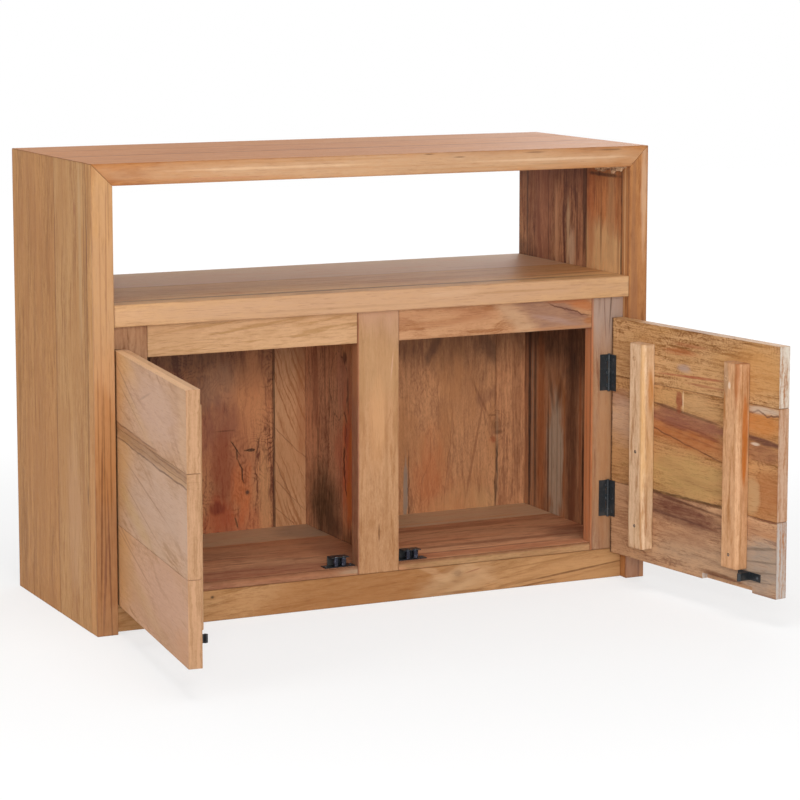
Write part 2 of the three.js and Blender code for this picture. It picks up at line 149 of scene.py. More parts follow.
class Graph:
    """A node tree, with the one method that adds nodes to it."""

    def __init__(self, tree: bpy.types.NodeTree) -> None:
        """Takes a tree and clears it."""
        self.tree = tree
        tree.nodes.clear()

    @staticmethod
    def _find(sockets: Iterable[bpy.types.NodeSocket], name: str) -> bpy.types.NodeSocket:
        """Returns the socket with that identifier, or else with that name."""
        known = list(sockets)
        for socket in known:
            if socket.identifier == name:
                return socket
        return next(socket for socket in known if socket.name == name)

    def node(
        self,
        kind: str,
        settings: Optional[Mapping[str, Any]] = None,
        sockets: Optional[Mapping[str, Any]] = None,
    ) -> bpy.types.Node:
        """Adds one node.

        Args:
            kind: The node's type.
            settings: Its properties, set before its sockets.
            sockets: A constant, a Value or a socket to link, for each input by name or identifier.

        Returns:
            The node.
        """
        made = self.tree.nodes.new(kind)
        for name, setting in (settings or {}).items():
            setattr(made, name, setting)
        for name, given in (sockets or {}).items():
            self.feed(self._find(made.inputs, name), given)
        return made

    def feed(self, socket: bpy.types.NodeSocket, given: Any) -> None:
        """Links a Value or socket to an input, or sets the input to a constant."""
        if isinstance(given, Value):
            given = given.socket
        if isinstance(given, bpy.types.NodeSocket):
            self.tree.links.new(given, socket)
        elif socket.type == "RGBA" and len(given) == 3:
            socket.default_value = (*given, 1.0)
        else:
            socket.default_value = given

    def math(self, operation: str, *operands: Number) -> Value:
        """Adds a Math node and returns its result."""
        made = self.node("ShaderNodeMath", {"operation": operation})
        for socket, operand in zip(made.inputs, operands):
            self.feed(socket, operand)
        return Value(self, made.outputs[0])

    def point(self) -> bpy.types.NodeSocket:
        """Returns the place on the piece, which follows the piece when it moves."""
        return self.node("ShaderNodeTexCoord").outputs["Object"]

    def facing(self, direction: Vector) -> Value:
        """Returns how far the surface faces along a direction of the piece, from -1 to 1."""
        return self.dot(self.node("ShaderNodeTexCoord").outputs["Normal"], direction)

    def dot(self, vector: bpy.types.NodeSocket, direction: Vector) -> Value:
        """Returns the length of a vector along a fixed direction."""
        fixed = {"Vector_001": tuple(direction)}
        made = self.node("ShaderNodeVectorMath", {"operation": "DOT_PRODUCT"}, fixed)
        self.feed(made.inputs[0], vector)
        return Value(self, made.outputs["Value"])

    def vector(self, x: Number, y: Number, z: Number) -> bpy.types.NodeSocket:
        """Joins three numbers into a vector."""
        return self.node("ShaderNodeCombineXYZ", None, {"X": x, "Y": y, "Z": z}).outputs[0]

    def noise(self, place: bpy.types.NodeSocket, detail: float = 2.0, roughness: float = 0.5) -> Value:
        """Returns smooth noise about 0.5 at a place whose unit is one ripple."""
        sockets = {"Vector": place, "Scale": 1.0, "Detail": detail, "Roughness": roughness}
        return Value(self, self.node("ShaderNodeTexNoise", None, sockets).outputs[0])

    def speckle(self, scale: float, detail: float, roughness: float = 0.5) -> Value:
        """Returns noise about 0.5 with so many ripples per metre of the piece."""
        sockets = {"Vector": self.point(), "Scale": scale}
        scaled = self.node("ShaderNodeVectorMath", {"operation": "SCALE"}, sockets)
        return self.noise(scaled.outputs[0], detail, roughness)

    def noises(self, place: bpy.types.NodeSocket, detail: float = 1.0) -> list[Value]:
        """Returns three separate noises about 0.5 at a place whose unit is one ripple."""
        made = self.node("ShaderNodeTexNoise", None, {"Vector": place, "Scale": 1.0, "Detail": detail})
        split = self.node("ShaderNodeSeparateColor", None, {"Color": made.outputs[1]})
        return [Value(self, socket) for socket in split.outputs]

    def line_noise(self, place: Value, detail: float = 2.0) -> Value:
        """Returns smooth noise about 0.5 that varies with one number alone."""
        settings = {"noise_dimensions": "1D"}
        sockets = {"W": place, "Scale": 1.0, "Detail": detail}
        return Value(self, self.node("ShaderNodeTexNoise", settings, sockets).outputs[0])

    def mix(self, share: Number, first: Paint, second: Paint, blend: str = "MIX") -> bpy.types.NodeSocket:
        """Mixes two colours.

        Args:
            share: 0 for the first colour, 1 for the second.
            first: The colour that shows at 0.
            second: The colour that shows at 1.
            blend: How the second acts on the first.

        Returns:
            The mixed colour's socket.
        """
        settings = {"data_type": "RGBA", "blend_type": blend, "clamp_factor": True}
        sockets = {"Factor_Float": share, "A_Color": first, "B_Color": second}
        return self._find(self.node("ShaderNodeMix", settings, sockets).outputs, "Result_Color")

    def bump(self, height: Value, distance: float, strength: float) -> bpy.types.NodeSocket:
        """Returns the normal of a surface raised by distance times height."""
        sockets = {"Height": height, "Distance": distance, "Strength": strength}
        return self.node("ShaderNodeBump", None, sockets).outputs["Normal"]


class Shader(Graph):
    """A material's node tree around one Principled surface."""

    def __init__(self, name: str) -> None:
        """Makes a material of that name."""
        self.material = bpy.data.materials.new(name)
        self.material.use_nodes = True
        super().__init__(self.material.node_tree)
        self.surface = self.node("ShaderNodeBsdfPrincipled")
        self.output = self.node("ShaderNodeOutputMaterial", None, {"Surface": self.surface.outputs["BSDF"]})

    def finish(self, **sockets: Any) -> bpy.types.Material:
        """Feeds the surface's sockets, named with spaces as underscores, and returns the material."""
        for name, given in sockets.items():
            self.feed(self.surface.inputs[name.replace("_", " ")], given)
        return self.material


# ---- Wood ----


@dataclass(frozen=True)
class Placement:
    """A board's own directions, low corner and size: along the grain, across it, and through it."""

    along: Vector
    across: Vector
    depth: Vector
    low: Vector
    size: Vector

    @classmethod
    def of(cls, node: str, axes: Sequence[Vector]) -> "Placement":
        """Measures a node along three directions.

        Args:
            node: The board's node.
            axes: The directions along, across and through the grain.

        Returns:
            The board's placement.
        """
        points = [v.co for v in frame["nodes"][node].data.vertices]
        spans = [[p.dot(axis) for p in points] for axis in axes]
        low = Vector(min(span) for span in spans)
        high = Vector(max(span) for span in spans)
        return cls(*axes, low, high - low)

    def point(self, along: float, across: float, depth: float) -> Vector:
        """Returns the place of a point given in millimetres from the board's low corner."""
        local = self.low + Vector((along, across, depth)) / MM_PER_M
        return self.along * local.x + self.across * local.y + self.depth * local.z


class Face(Enum):
    """Which faces of a board a mark shows on."""

    BROAD = "the broad faces"
    FRONT = "the edge at the low end of across"
    CROWN = "the edge at the high end of across"


class Mark:
    """Something that one stretch of a board has: a streak, a band, a knot, a crack or an eye. Some streaks
    and bands are painted shade or a painted shadow instead of the wood's own colour.

    Its measures are millimetres from the board's low corner, along and across the grain.
    """

    def bend(self, wood: "Wood") -> None:
        """Moves the rings aside. Most marks leave them."""

    def stain(self, wood: "Wood") -> None:
        """Colours the wood."""


@dataclass(frozen=True)
class Streak(Mark):
    """A long soft patch of another colour, which runs with the grain or leans across it."""

    along: float
    across: float
    length: float
    width: float
    tone: str
    strength: float = 0.8
    lean: float = 0.0
    soft: float = 0.5
    ragged: float = 0.5
    face: Face = Face.BROAD

    def stain(self, wood: "Wood") -> None:
        """Mixes the patch's colour in, with an edge that the grain frays."""
        step = wood.along - self.along
        side = wood.sideways(self.face) - self.across - step * self.lean
        reach = ((step / (self.length / 2)) ** 2.0 + (side / (self.width / 2)) ** 2.0).root()
        frayed = reach + (wood.fray - 0.5) * (2 * self.ragged) + (wood.fibre - 0.5) * self.ragged
        mask = frayed.ease(1 + self.soft, 1 - self.soft) * wood.shown(self.face) * self.strength
        wood.paint(mask * wood.grit, self.tone)


@dataclass(frozen=True)
class Band(Mark):
    """A stretch of the whole board's width in another colour, with a slanting frayed edge."""

    start: float
    stop: float
    tone: str
    strength: float = 0.6
    slant: float = 0.0
    soft: float = 12.0
    ragged: float = 14.0

    def stain(self, wood: "Wood") -> None:
        """Mixes the stretch's colour in."""
        place = wood.along + wood.across * self.slant + (wood.fray - 0.5) * (2 * self.ragged)
        rise = place.ease(self.start - self.soft, self.start + self.soft)
        fall = place.ease(self.stop + self.soft, self.stop - self.soft)
        wood.paint(rise * fall * self.strength * wood.grit, self.tone)


@dataclass(frozen=True)
class Knot(Mark):
    """A branch's round end, with the rings pushed out round it."""

    along: float
    across: float
    radius: float
    tone: str = "5a3420"
    strength: float = 0.85
    stretch: float = 1.4
    reach: float = 2.6

    def _distance(self, wood: "Wood") -> Value:
        """Returns the distance from the knot's middle in radii."""
        lengthwise = (wood.along - self.along) / (self.radius * self.stretch)
        crosswise = (wood.across - self.across) / self.radius
        return (lengthwise * lengthwise + crosswise * crosswise).root()

    def bend(self, wood: "Wood") -> None:
        """Spreads the rings apart near the knot."""
        near = wood.shader.math("EXPONENT", (self._distance(wood) / self.reach) ** 2.0 * -1.0)
        wood.bent = wood.bent - (wood.across - self.across) * near * 0.85

    def stain(self, wood: "Wood") -> None:
        """Darkens the knot's core, with rings of its own and a darker rim."""
        frayed = self._distance(wood) + (wood.fray - 0.5) * 0.9
        rings = wood.shader.line_noise(frayed * 4.0, 1.0)
        core = frayed.ease(1.15, 0.75) * (0.55 + 0.6 * rings)
        rim = frayed.ease(1.9, 1.0) * 0.35
        wood.paint(core.most(rim) * self.strength, self.tone)
        wood.sink(core * 0.4)


@dataclass(frozen=True)
class Crack(Mark):
    """A thin dark split that wanders along the grain, with so many waves per metre."""

    along: float
    across: float
    length: float
    width: float = 1.4
    lean: float = 0.0
    wobble: float = 2.5
    waves: float = 70.0
    tone: str = "3a2418"
    strength: float = 0.9
    face: Face = Face.BROAD

    def stain(self, wood: "Wood") -> None:
        """Darkens and sinks the split."""
        step = wood.along - self.along
        sway = wood.shader.line_noise(wood.along * (self.waves / MM_PER_M) + self.across * 3.11, 2.0) - 0.5
        side = abs(wood.sideways(self.face) - self.across - step * self.lean + sway * (2 * self.wobble))
        ends = abs(step).ease(self.length * 0.5, self.length * 0.3)
        mask = side.ease(self.width, self.width * 0.3) * ends * (wood.fray.ease(0.3, 0.55) * 0.5 + 0.5)
        mask = mask * wood.shown(self.face)
        wood.paint(mask * self.strength, self.tone)
        wood.sink(mask * 1.5)


@dataclass(frozen=True)
class Eye(Mark):
    """A thin line round an almond, where the rings close round a swelling."""

    along: float
    across: float
    length: float
    width: float
    line: float = 1.5
    tone: str = "5a3a28"
    strength: float = 0.7
    echoes: float = 0.0

    def stain(self, wood: "Wood") -> None:
        """Darkens the line, and fainter ones inside it at so many steps."""
        step = wood.along - self.along
        side = abs(wood.across - self.across) / (self.width / 2)
        ends = (step / (self.length / 2)) ** 2.0
        reach = ends + side ** 1.6 + (wood.fray - 0.5) * 0.9 + (wood.fibre - 0.5) * 0.25
        thin = 2.2 * self.line / self.width
        mask = abs(reach - 1.0).ease(thin, thin * 0.2) * wood.mottle.ease(0.32, 0.58)
        if self.echoes:
            rings = wood.shader.math("PINGPONG", reach * self.echoes, 0.5) * 2.0
            mask = mask.most(rings.ease(0.5, 0.9) * reach.ease(1.0, 0.9) * 0.55)
        wood.paint(mask * wood.grit * self.strength, self.tone)
        wood.sink(mask * 0.5)


@dataclass(frozen=True)
class Teak:
    """One board's wood: its colours, how its rings lie, and how strongly they show.

    Measures are millimetres. The pith's place across is a share of the board's width, drift is how far the
    pith moves across per step along, curl_size is ripples per metre, and shows is how much of its marks the
    board's near and far faces show.
    """

    tone: str = "c79a7c"
    grain: str = "a9784f"
    tint: str = "b98c74"
    pith_across: float = 2.6
    pith_depth: float = -60.0
    drift: float = 0.0
    wander: float = 4.0
    bands: float = 0.6
    lines: float = 0.8
    fibres: float = 1.0
    blotch: float = 0.4
    ring_pitch: float = 4.5
    ripple: float = 0.0
    burr: float = 0.0
    curl: float = 0.0
    curl_size: tuple[float, float] = (14.0, 10.0)
    speck: float = 0.5
    roughness: float = 0.55
    sheen: float = 0.3
    edge: float = 0.35
    end: str = ""
    end_grain: str = "a9744c"
    shows: tuple[float, float] = (1.0, 1.0)
    seed: float = 0.0
    marks: tuple[Mark, ...] = ()


class Ripples(Enum):
    """The wood's noises.

    Each has its ripples per metre along and across the grain, a shift that sets it apart from the others, and
    its detail and roughness.
    """

    SWAY = (3.0, 8.0, 0.0, 2.0, 0.5)
    BLOTCH = (7.0, 19.0, 23.0, 5.0, 0.62)
    PATCH = (9.0, 15.0, 83.0, 2.0, 0.5)
    BURR = (16.0, 24.0, 53.0, 2.0, 0.5)
    FRAY = (26.0, 95.0, 11.0, 2.0, 0.5)
    FIBRE = (24.0, 340.0, 17.0, 3.0, 0.62)
    MOTTLE = (75.0, 210.0, 41.0, 3.0, 0.65)
    SPECK = (240.0, 620.0, 67.0, 2.0, 0.7)
    PORES = (55.0, 800.0, 31.0, 1.0, 0.5)


class Wood:
    """Builds the shader of one teak board from its rings, fibres, pores and marks."""

    MIDDLE_TONE = 0.42
    RELIEF = 0.00035
    CURL_SHIFT = 71.0
    PORE_DARKNESS = 0.26
    END_DARKNESS = 0.4
    END_COVER = 0.95

    def __init__(self, name: str, teak: Teak, place: Placement) -> None:
        """Starts the shader of a board.

        Args:
            name: The material's name.
            teak: The board's wood.
            place: Where the board lies.
        """
        self.teak = teak
        self.place = place
        self.size = place.size * MM_PER_M
        self.shader = Shader(name)
        point = self.shader.point()
        low = place.low * MM_PER_M
        self.along = self.shader.dot(point, place.along * MM_PER_M) - low.x
        self.across = self.shader.dot(point, place.across * MM_PER_M) - low.y
        self.depth = self.shader.dot(point, place.depth * MM_PER_M) - low.z
        self.fray = self._noise(Ripples.FRAY)
        self.fibre = self._noise(Ripples.FIBRE)
        self.mottle = self._noise(Ripples.MOTTLE)
        self.grit = 0.35 + self.mottle * 0.7 + self.fibre * 0.6
        self.bent = self.across
        self.height = (self.fibre - 0.5) * 0.8 + (self.mottle - 0.5) * 0.6
        self.colour: Paint = linear(teak.tone)

    def _spread(self, along: float, across: float, shift: float) -> bpy.types.NodeSocket:
        """Returns a noise place with so many ripples per metre along and across the grain."""
        seed = self.teak.seed * 7.31 + shift
        step = self.along * (along / MM_PER_M) + seed
        side = self.across * (across / MM_PER_M) - seed
        return self.shader.vector(step, side, self.depth * (across / MM_PER_M) + seed * 1.7)

    def _noise(self, ripples: Ripples) -> Value:
        """Returns one of the wood's noises, about 0.5."""
        *spread, detail, roughness = ripples.value
        return self.shader.noise(self._spread(*spread), detail, roughness)

    def _noises(self, ripples: Ripples) -> list[Value]:
        """Returns three separate noises of one kind, about 0.5."""
        *spread, detail, _ = ripples.value
        return self.shader.noises(self._spread(*spread), detail)

    def paint(self, share: Number, tone: str) -> None:
        """Mixes a share of a tone into the wood's colour."""
        self.colour = self.shader.mix(share, self.colour, linear(tone))

    def shade(self, share: Number, shade: Sequence[float]) -> None:
        """Darkens the wood's colour by a share of a shade."""
        self.colour = self.shader.mix(share, self.colour, shade, "MULTIPLY")

    def sink(self, depth: Value) -> None:
        """Lowers the wood's surface."""
        self.height = self.height - depth

    def sideways(self, face: Face) -> Value:
        """Returns the measure that runs across a face."""
        return self.across if face is Face.BROAD else self.depth

    def shown(self, face: Face) -> Number:
        """Returns 1 where a face's marks show."""
        if face is Face.FRONT:
            return self.across.ease(3.0, 1.0)
        return (self.size.y - self.across).ease(1.6, 0.6) if face is Face.CROWN else 1.0

    def _radius(self) -> Value:
        """Returns how many rings out from the pith the wood is."""
        teak = self.teak
        for mark in teak.marks:
            mark.bend(self)
        sway = self._noises(Ripples.SWAY)
        aside = self.bent - teak.pith_across * self.size.y - self.along * teak.drift
        aside = aside + (sway[0] - 0.5) * (5 * teak.wander) + (self.fray - 0.5) * (0.9 * teak.wander)
        below = self.depth - teak.pith_depth + (sway[1] - 0.5) * (5 * teak.wander)
        if teak.ripple:
            wave = self.shader.math("SINE", self.along * 0.07 + sway[2] * 9 + self.across * 0.02)
            aside = aside + wave * teak.ripple
        if teak.burr:
            curl = self._noises(Ripples.BURR)
            aside = aside + (curl[0] - 0.5) * (2 * teak.burr)
            below = below + (curl[1] - 0.5) * (2 * teak.burr)
        frayed = (aside * aside + below * below).root() + (self.fibre - 0.5) * 2.0
        return frayed / teak.ring_pitch + teak.seed * 13.7

    def _rings(self, radius: Value, along: float, out: float, detail: float) -> Value:
        """Returns noise that runs along the rings, with so many ripples per metre and per ring."""
        place = self.shader.vector(
            self.along * (along / MM_PER_M), radius * out, self.depth * 0.01 + self.teak.seed
        )
        return self.shader.noise(place, detail, 0.6)

    def _curls(self) -> Value:
        """Returns up to 1 in fine lines that curl round patches like the contours of a map."""
        field = self.shader.noise(self._spread(*self.teak.curl_size, self.CURL_SHIFT), 2.0, 0.45)
        level = field * 26.0 + self.fray * 2.2 + self.fibre * 0.7
        lines = self.shader.math("PINGPONG", level, 0.5) * 2.0
        patch = self._noise(Ripples.PATCH).ease(0.38, 0.62)
        return (lines.ease(0.4, 1.0) * (0.2 + 1.2 * self.mottle) - 0.25) * patch

    def _edge_wear(self) -> Value:
        """Returns 1 at the board's edges and 0 a few millimetres in."""
        gaps = []
        for step, reach in ((self.along, self.size.x), (self.across, self.size.y), (self.depth, self.size.z)):
            gaps.append(step.least(reach - step))
        middle = gaps[0].least(gaps[1]).most(gaps[0].most(gaps[1]).least(gaps[2]))
        return (middle + (self.fray - 0.5) * 3.5).ease(2.0, 0.0)

    def material(self) -> bpy.types.Material:
        """Builds the whole board and returns its material."""
        teak = self.teak
        shader = self.shader
        radius = self._radius()
        bands = self._rings(radius, 3.0, 0.17, 2.0)
        lines = self._rings(radius, 9.0, 0.75, 3.0)
        blotch = self._noise(Ripples.BLOTCH)
        speck = self._noise(Ripples.SPECK)
        hair = lines.ease(0.52, 0.68) * (0.25 + 1.1 * self.fray)

        tone: Number = self.MIDDLE_TONE
        for figure, middle, reach in (
            (bands, 0.5, 2.2 * teak.bands),
            (hair, 0.2, 0.7 * teak.lines),
            (self.fibre, 0.5, 1.7 * teak.fibres),
            (lines, 0.5, 0.6 * teak.lines),
            (self.mottle, 0.5, 1.3),
            (speck, 0.5, 1.6 * teak.speck),
        ):
            tone = tone + (figure - middle) * reach
        if teak.curl:
            tone = tone + self._curls() * teak.curl
        self.colour = shader.mix(tone, linear(teak.tone), linear(teak.grain))
        self.paint(blotch.ease(0.44, 0.62) * teak.blotch, teak.tint)
        self.height = self.height - hair * 0.3 + (speck - 0.5) * (0.6 * teak.speck)
        plain = self.colour
        for mark in teak.marks:
            mark.stain(self)
        if teak.shows != (1.0, 1.0):
            near, far = teak.shows
            lost = 1 - near + (self.depth - self.size.z / 2).ease(-0.5, 0.5) * (near - far)
            self.colour = shader.mix(lost, self.colour, plain)

        pore = self._noise(Ripples.PORES).ease(0.56, 0.72) * (0.4 + lines)
        self.shade(pore * (self.PORE_DARKNESS * teak.fibres), PORE_SHADE)
        self.sink(pore * 0.8)

        ends = abs(shader.facing(self.place.along)).ease(0.55, 0.9)
        if teak.end:
            place = shader.vector(self.across * 0.016, self.depth * 0.3 + self.fray * 1.6, teak.seed)
            rays = shader.noise(place, 3.0, 0.6) * 0.8 + self.mottle * 0.25
            cut = shader.mix(rays.ease(0.4, 0.72), linear(teak.end), linear(teak.end_grain))
            self.colour = shader.mix(ends * self.END_COVER, self.colour, cut)
        else:
            self.shade(ends * self.END_DARKNESS, END_SHADE)
        self.shade(self._edge_wear() * teak.edge, EDGE_SHADE)

        roughness = teak.roughness + (self.fibre - 0.5) * 0.2 + ends * 0.15 - (bands - 0.5) * 0.12
        normal = shader.bump(self.height, self.RELIEF, 0.5)
        sheen = {"Specular_IOR_Level": teak.sheen, "IOR": 1.45}
        return shader.finish(Base_Color=self.colour, Roughness=roughness, Normal=normal, **sheen)


class Lay(Enum):
    """How a board's grain lies in the case: its directions along, across and through."""

    TOP = ("x", "y", "z")
    RAIL = ("x", "z", "y")
    SIDE = ("z", "y", "x")
    POST = ("z", "x", "y")
    BEARER = ("y", "x", "z")

    def axes(self) -> list[Vector]:
        """Returns the three directions as unit vectors."""
        units = {"x": Vector((1, 0, 0)), "y": Vector((0, 1, 0)), "z": Vector((0, 0, 1))}
        return [units[name] for name in self.value]


# ---- Metal and small finishes ----


@dataclass(frozen=True)
class PaintedSteel:
    """Black painted steel, a little dusty, rubbed thin in places."""

    tone: str = "2c3135"
    rubbed: str = "565b60"
    roughness: float = 0.42
    metallic: float = 0.35
    rub: float = 0.35

    def material(self, name: str) -> bpy.types.Material:
        """Builds the finish under that name."""
        shader = Shader(name)
        speckle = shader.speckle(260.0, 3.0, 0.6)
        dust = shader.speckle(45.0, 2.0)
        bare = speckle.ease(0.52, 0.72) * self.rub
        colour = shader.mix(bare, linear(self.tone), linear(self.rubbed))
        colour = shader.mix(dust.ease(0.5, 0.8) * 0.25, colour, linear(DUST))
        return shader.finish(
            Base_Color=colour,
            Roughness=self.roughness + (dust - 0.5) * 0.3,
            Metallic=self.metallic + bare * 0.4,
            Normal=shader.bump(speckle, 0.0001, 0.3),
        )


class Metal(Enum):
    """The metals of the fittings."""

    LEAF = PaintedSteel()
    BRACKET = PaintedSteel(tone="24282c", rubbed="4c5157", roughness=0.38)
    ROLLER = PaintedSteel(tone="30323e", rubbed="8b90a6", roughness=0.2, metallic=0.75, rub=0.6)
    PIN = PaintedSteel(tone="33383c", rubbed="80868c", roughness=0.3, metallic=0.7)
    SCREW = PaintedSteel(tone="4a4f54", rubbed="a4a9ae", roughness=0.3, metallic=0.8)

    def material(self) -> bpy.types.Material:
        """Returns this metal's material, made once."""
        name = f"steel_{self.name.lower()}"
        return bpy.data.materials.get(name) or self.value.material(name)


@dataclass(frozen=True)
class Filler:
    """A pale sanded filler or plug, mottled and matt."""

    tone: str = "c9a27c"
    shade: str = "9a7350"
    roughness: float = 0.7

    def material(self, name: str) -> bpy.types.Material:
        """Builds the finish under that name."""
        shader = Shader(name)
        grit = shader.speckle(420.0, 3.0, 0.6)
        colour = shader.mix(grit.ease(0.35, 0.7), linear(self.tone), linear(self.shade))
        normal = shader.bump(grit, 0.0003, 0.5)
        return shader.finish(Base_Color=colour, Roughness=self.roughness, Normal=normal)


# ---- Meshes ----


def add_object(name: str, data: Any) -> bpy.types.Object:
    """Puts a new object with a mesh, light or camera in the scene."""
    made = bpy.data.objects.new(name, data)
    bpy.context.scene.collection.objects.link(made)
    return made


def add_piece(name: str, mesh: bpy.types.Mesh, body: str, material: bpy.types.Material) -> None:
    """Puts a new mesh in the scene as a piece that moves with a body.

    Args:
        name: The piece's name.
        mesh: Its mesh, in the row frame.
        body: The body it rides on.
        material: Its material.
    """
    piece = add_object(name, mesh)
    mesh.materials.append(material)
    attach(piece, body)
    LOG.info("piece %s on %s: %d faces", name, body, len(mesh.polygons))


def facing_matrix(centre: Vector, normal: Vector, turn: float = 0.0) -> Matrix:
    """Returns the matrix that stands a shape built about +Z at a place, facing along a normal."""
    tilt = normal.to_track_quat("Z", "Y").to_matrix().to_4x4()
    return Matrix.Translation(centre) @ tilt @ Matrix.Rotation(turn, 4, "Z")


def loft(bm: bmesh.types.BMesh, rows: Sequence[Sequence[bmesh.types.BMVert]]) -> None:
    """Joins rings of vertices one after another."""
    for lower, upper in zip(rows, rows[1:]):
        for i, vertex in enumerate(lower):
            after = (i + 1) % len(lower)
            bm.faces.new((vertex, lower[after], upper[after], upper[i]))


@dataclass(frozen=True)
class ScrewHead:
    """A low domed screw head with a cross recess. Its measures are millimetres."""

    radius: float = 2.0
    height: float = 0.5
    recess_half_width: float = 0.3
    recess_reach: float = 1.2
    recess_depth: float = 0.6
    flattening: float = 0.75
    sectors: int = 40
    rings: int = 8

    def add_to(self, bm: bmesh.types.BMesh, place: Matrix) -> None:
        """Adds one head to a mesh.

        Args:
            bm: The mesh being built.
            place: Where the head's foot stands and where it faces.
        """
        middle = bm.verts.new(place @ Vector((0, 0, (self.height - self.recess_depth) / MM_PER_M)))
        rows = [self._ring(bm, place, ring / self.rings) for ring in range(1, self.rings + 1)]
        foot = [bm.verts.new(vertex.co) for vertex in rows[-1]]
        for vertex in foot:
            vertex.co -= place.to_3x3() @ Vector((0, 0, self.height / MM_PER_M))
        rows.append(foot)
        for i, vertex in enumerate(rows[0]):
            bm.faces.new((middle, vertex, rows[0][(i + 1) % self.sectors]))
        loft(bm, rows)
        bm.faces.new(foot[::-1])

    def _ring(self, bm: bmesh.types.BMesh, place: Matrix, share: float) -> list[bmesh.types.BMVert]:
        """Makes one ring of the dome, at a share of its radius."""
        ring = []
        for sector in range(self.sectors):
            angle = 2 * math.pi * sector / self.sectors
            x, y = self.radius * share * math.cos(angle), self.radius * share * math.sin(angle)
            level = self.height * math.sqrt(1 - self.flattening * share**4)
            if min(abs(x), abs(y)) < self.recess_half_width and share * self.radius < self.recess_reach:
                level -= self.recess_depth
            ring.append(bm.verts.new(place @ (Vector((x, y, level)) / MM_PER_M)))
        return ring


@dataclass(frozen=True)
class Turned:
    """A turned solid: a profile of radius and height in millimetres, swept about its axis."""

    profile: tuple[tuple[float, float], ...]
    sectors: int = 32

    def add_to(self, bm: bmesh.types.BMesh, place: Matrix) -> None:
        """Adds the solid to a mesh, with closed ends."""
        rows = []
        for radius, height in self.profile:
            angles = [2 * math.pi * i / self.sectors for i in range(self.sectors)]
            points = [Vector((radius * math.cos(a), radius * math.sin(a), height)) / MM_PER_M for a in angles]
            rows.append([bm.verts.new(place @ point) for point in points])
        loft(bm, rows)
        bm.faces.new(rows[0][::-1])
        bm.faces.new(rows[-1])


@dataclass(frozen=True)
class Bead:
    """A rough bead of filler squeezed into a square inner corner. Its measures are millimetres.

    It runs along +Z of its place, with the corner's two walls at +X and +Y. Its lumps and its grit are how
    finely each varies about the bead and along it, and how strongly.
    """

    length: float
    reach: float
    step: float = 1.5
    sectors: int = 8
    seed: float = 3.7
    clearance: float = 0.15
    lumps: tuple[float, float, float] = (1.3, 0.11, 0.7)
    grit: tuple[float, float, float] = (4.0, 0.55, 0.3)

    def add_to(self, bm: bmesh.types.BMesh, place: Matrix) -> None:
        """Adds the bead to a mesh, with closed ends."""
        count = round(self.length / self.step)
        rows = [self._ring(bm, place, i / count) for i in range(count + 1)]
        loft(bm, rows)
        bm.faces.new(rows[0][::-1])
        bm.faces.new(rows[-1])

    def _ring(self, bm: bmesh.types.BMesh, place: Matrix, share: float) -> list[bmesh.types.BMVert]:
        """Makes one ring: the corner itself, then the lumpy arc between the walls."""
        along = self.length * share
        taper = min(1.0, share * 6, (1 - share) * 2.5) ** 0.5 * 0.8 + 0.2
        ring = [bm.verts.new(place @ (Vector((self.clearance, self.clearance, along)) / MM_PER_M))]
        for i in range(self.sectors + 1):
            angle = math.pi * (1 + 0.5 * i / self.sectors)
            rough = 0.8
            for (about, lengthwise, strength), seed in ((self.lumps, self.seed), (self.grit, -self.seed)):
                rough += noise.noise(Vector((angle * about, along * lengthwise, seed))) * strength
            reach = self.reach * taper * (0.9 + 0.5 * share) * max(0.35, rough)
            point = Vector((math.cos(angle) * reach + 0.1, math.sin(angle) * reach + 0.1, along))
            ring.append(bm.verts.new(place @ (point / MM_PER_M)))
        return ring


def mesh_of(name: str, shape: Union[ScrewHead, Turned, Bead], places: Sequence[Matrix]) -> bpy.types.Mesh:
    """Builds one smooth mesh with a shape at each of some places.

    Args:
        name: The mesh's name.
        shape: The shape.
        places: Where it stands, and where it faces.

    Returns:
        The mesh.
    """
    bm = bmesh.new()
    for place in places:
        shape.add_to(bm, place)
    bmesh.ops.recalc_face_normals(bm, faces=bm.faces)
    for face in bm.faces:
        face.smooth = True
    mesh = bpy.data.meshes.new(name)
    bm.to_mesh(mesh)
    bm.free()
    return mesh


def ease_edges(node: str, width: float) -> None:
    """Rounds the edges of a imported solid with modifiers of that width, and leaves its mesh as it is."""
    solid = frame["nodes"][node]
    weld = solid.modifiers.new("weld", "WELD")
    weld.merge_threshold = WELD_REACH
    bevel = solid.modifiers.new("eased_edges", "BEVEL")
    bevel.width = width
    bevel.segments = EASING_STEPS
    bevel.limit_method = "ANGLE"
    bevel.angle_limit = math.radians(SHARP_ANGLE)
    bevel.harden_normals = False
    solid.modifiers.new("even_normals", "WEIGHTED_NORMAL").keep_sharp = False


def dress(node: str, material: bpy.types.Material) -> None:
    """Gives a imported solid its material."""
    solid = frame["nodes"][node]
    if not solid.material_slots:
        solid.data.materials.append(material)
    solid.material_slots[0].material = material


def finish_board(node: str, teak: Teak, axes: Sequence[Vector], width: float) -> None:
    """Eases a board's edges and gives it its wood.

    Args:
        node: The board's node.
        teak: Its wood.
        axes: The directions along, across and through its grain.
        width: The rounding of its edges.
    """
    place = Placement.of(node, axes)
    ease_edges(node, width)
    dress(node, Wood(f"teak_{node}", teak, place).material())
    LOG.info("board %s: %.0f mm along the grain", node, place.size.x * MM_PER_M)


def board(base: Teak, colours: str, seed: float, **changes: Any) -> Teak:
    """Returns one board's wood.

    Args:
        base: The wood that it is like.
        colours: Its tone, grain and tint, with spaces between.
        seed: What sets its figure apart from the other boards'.
        changes: What else differs from the base. Its marks are laid on in their order.

    Returns:
        The board's wood.
    """
    tone, grain, tint = colours.split()
    return replace(base, tone=tone, grain=grain, tint=tint, seed=seed, **changes)


# ---- The boards ----

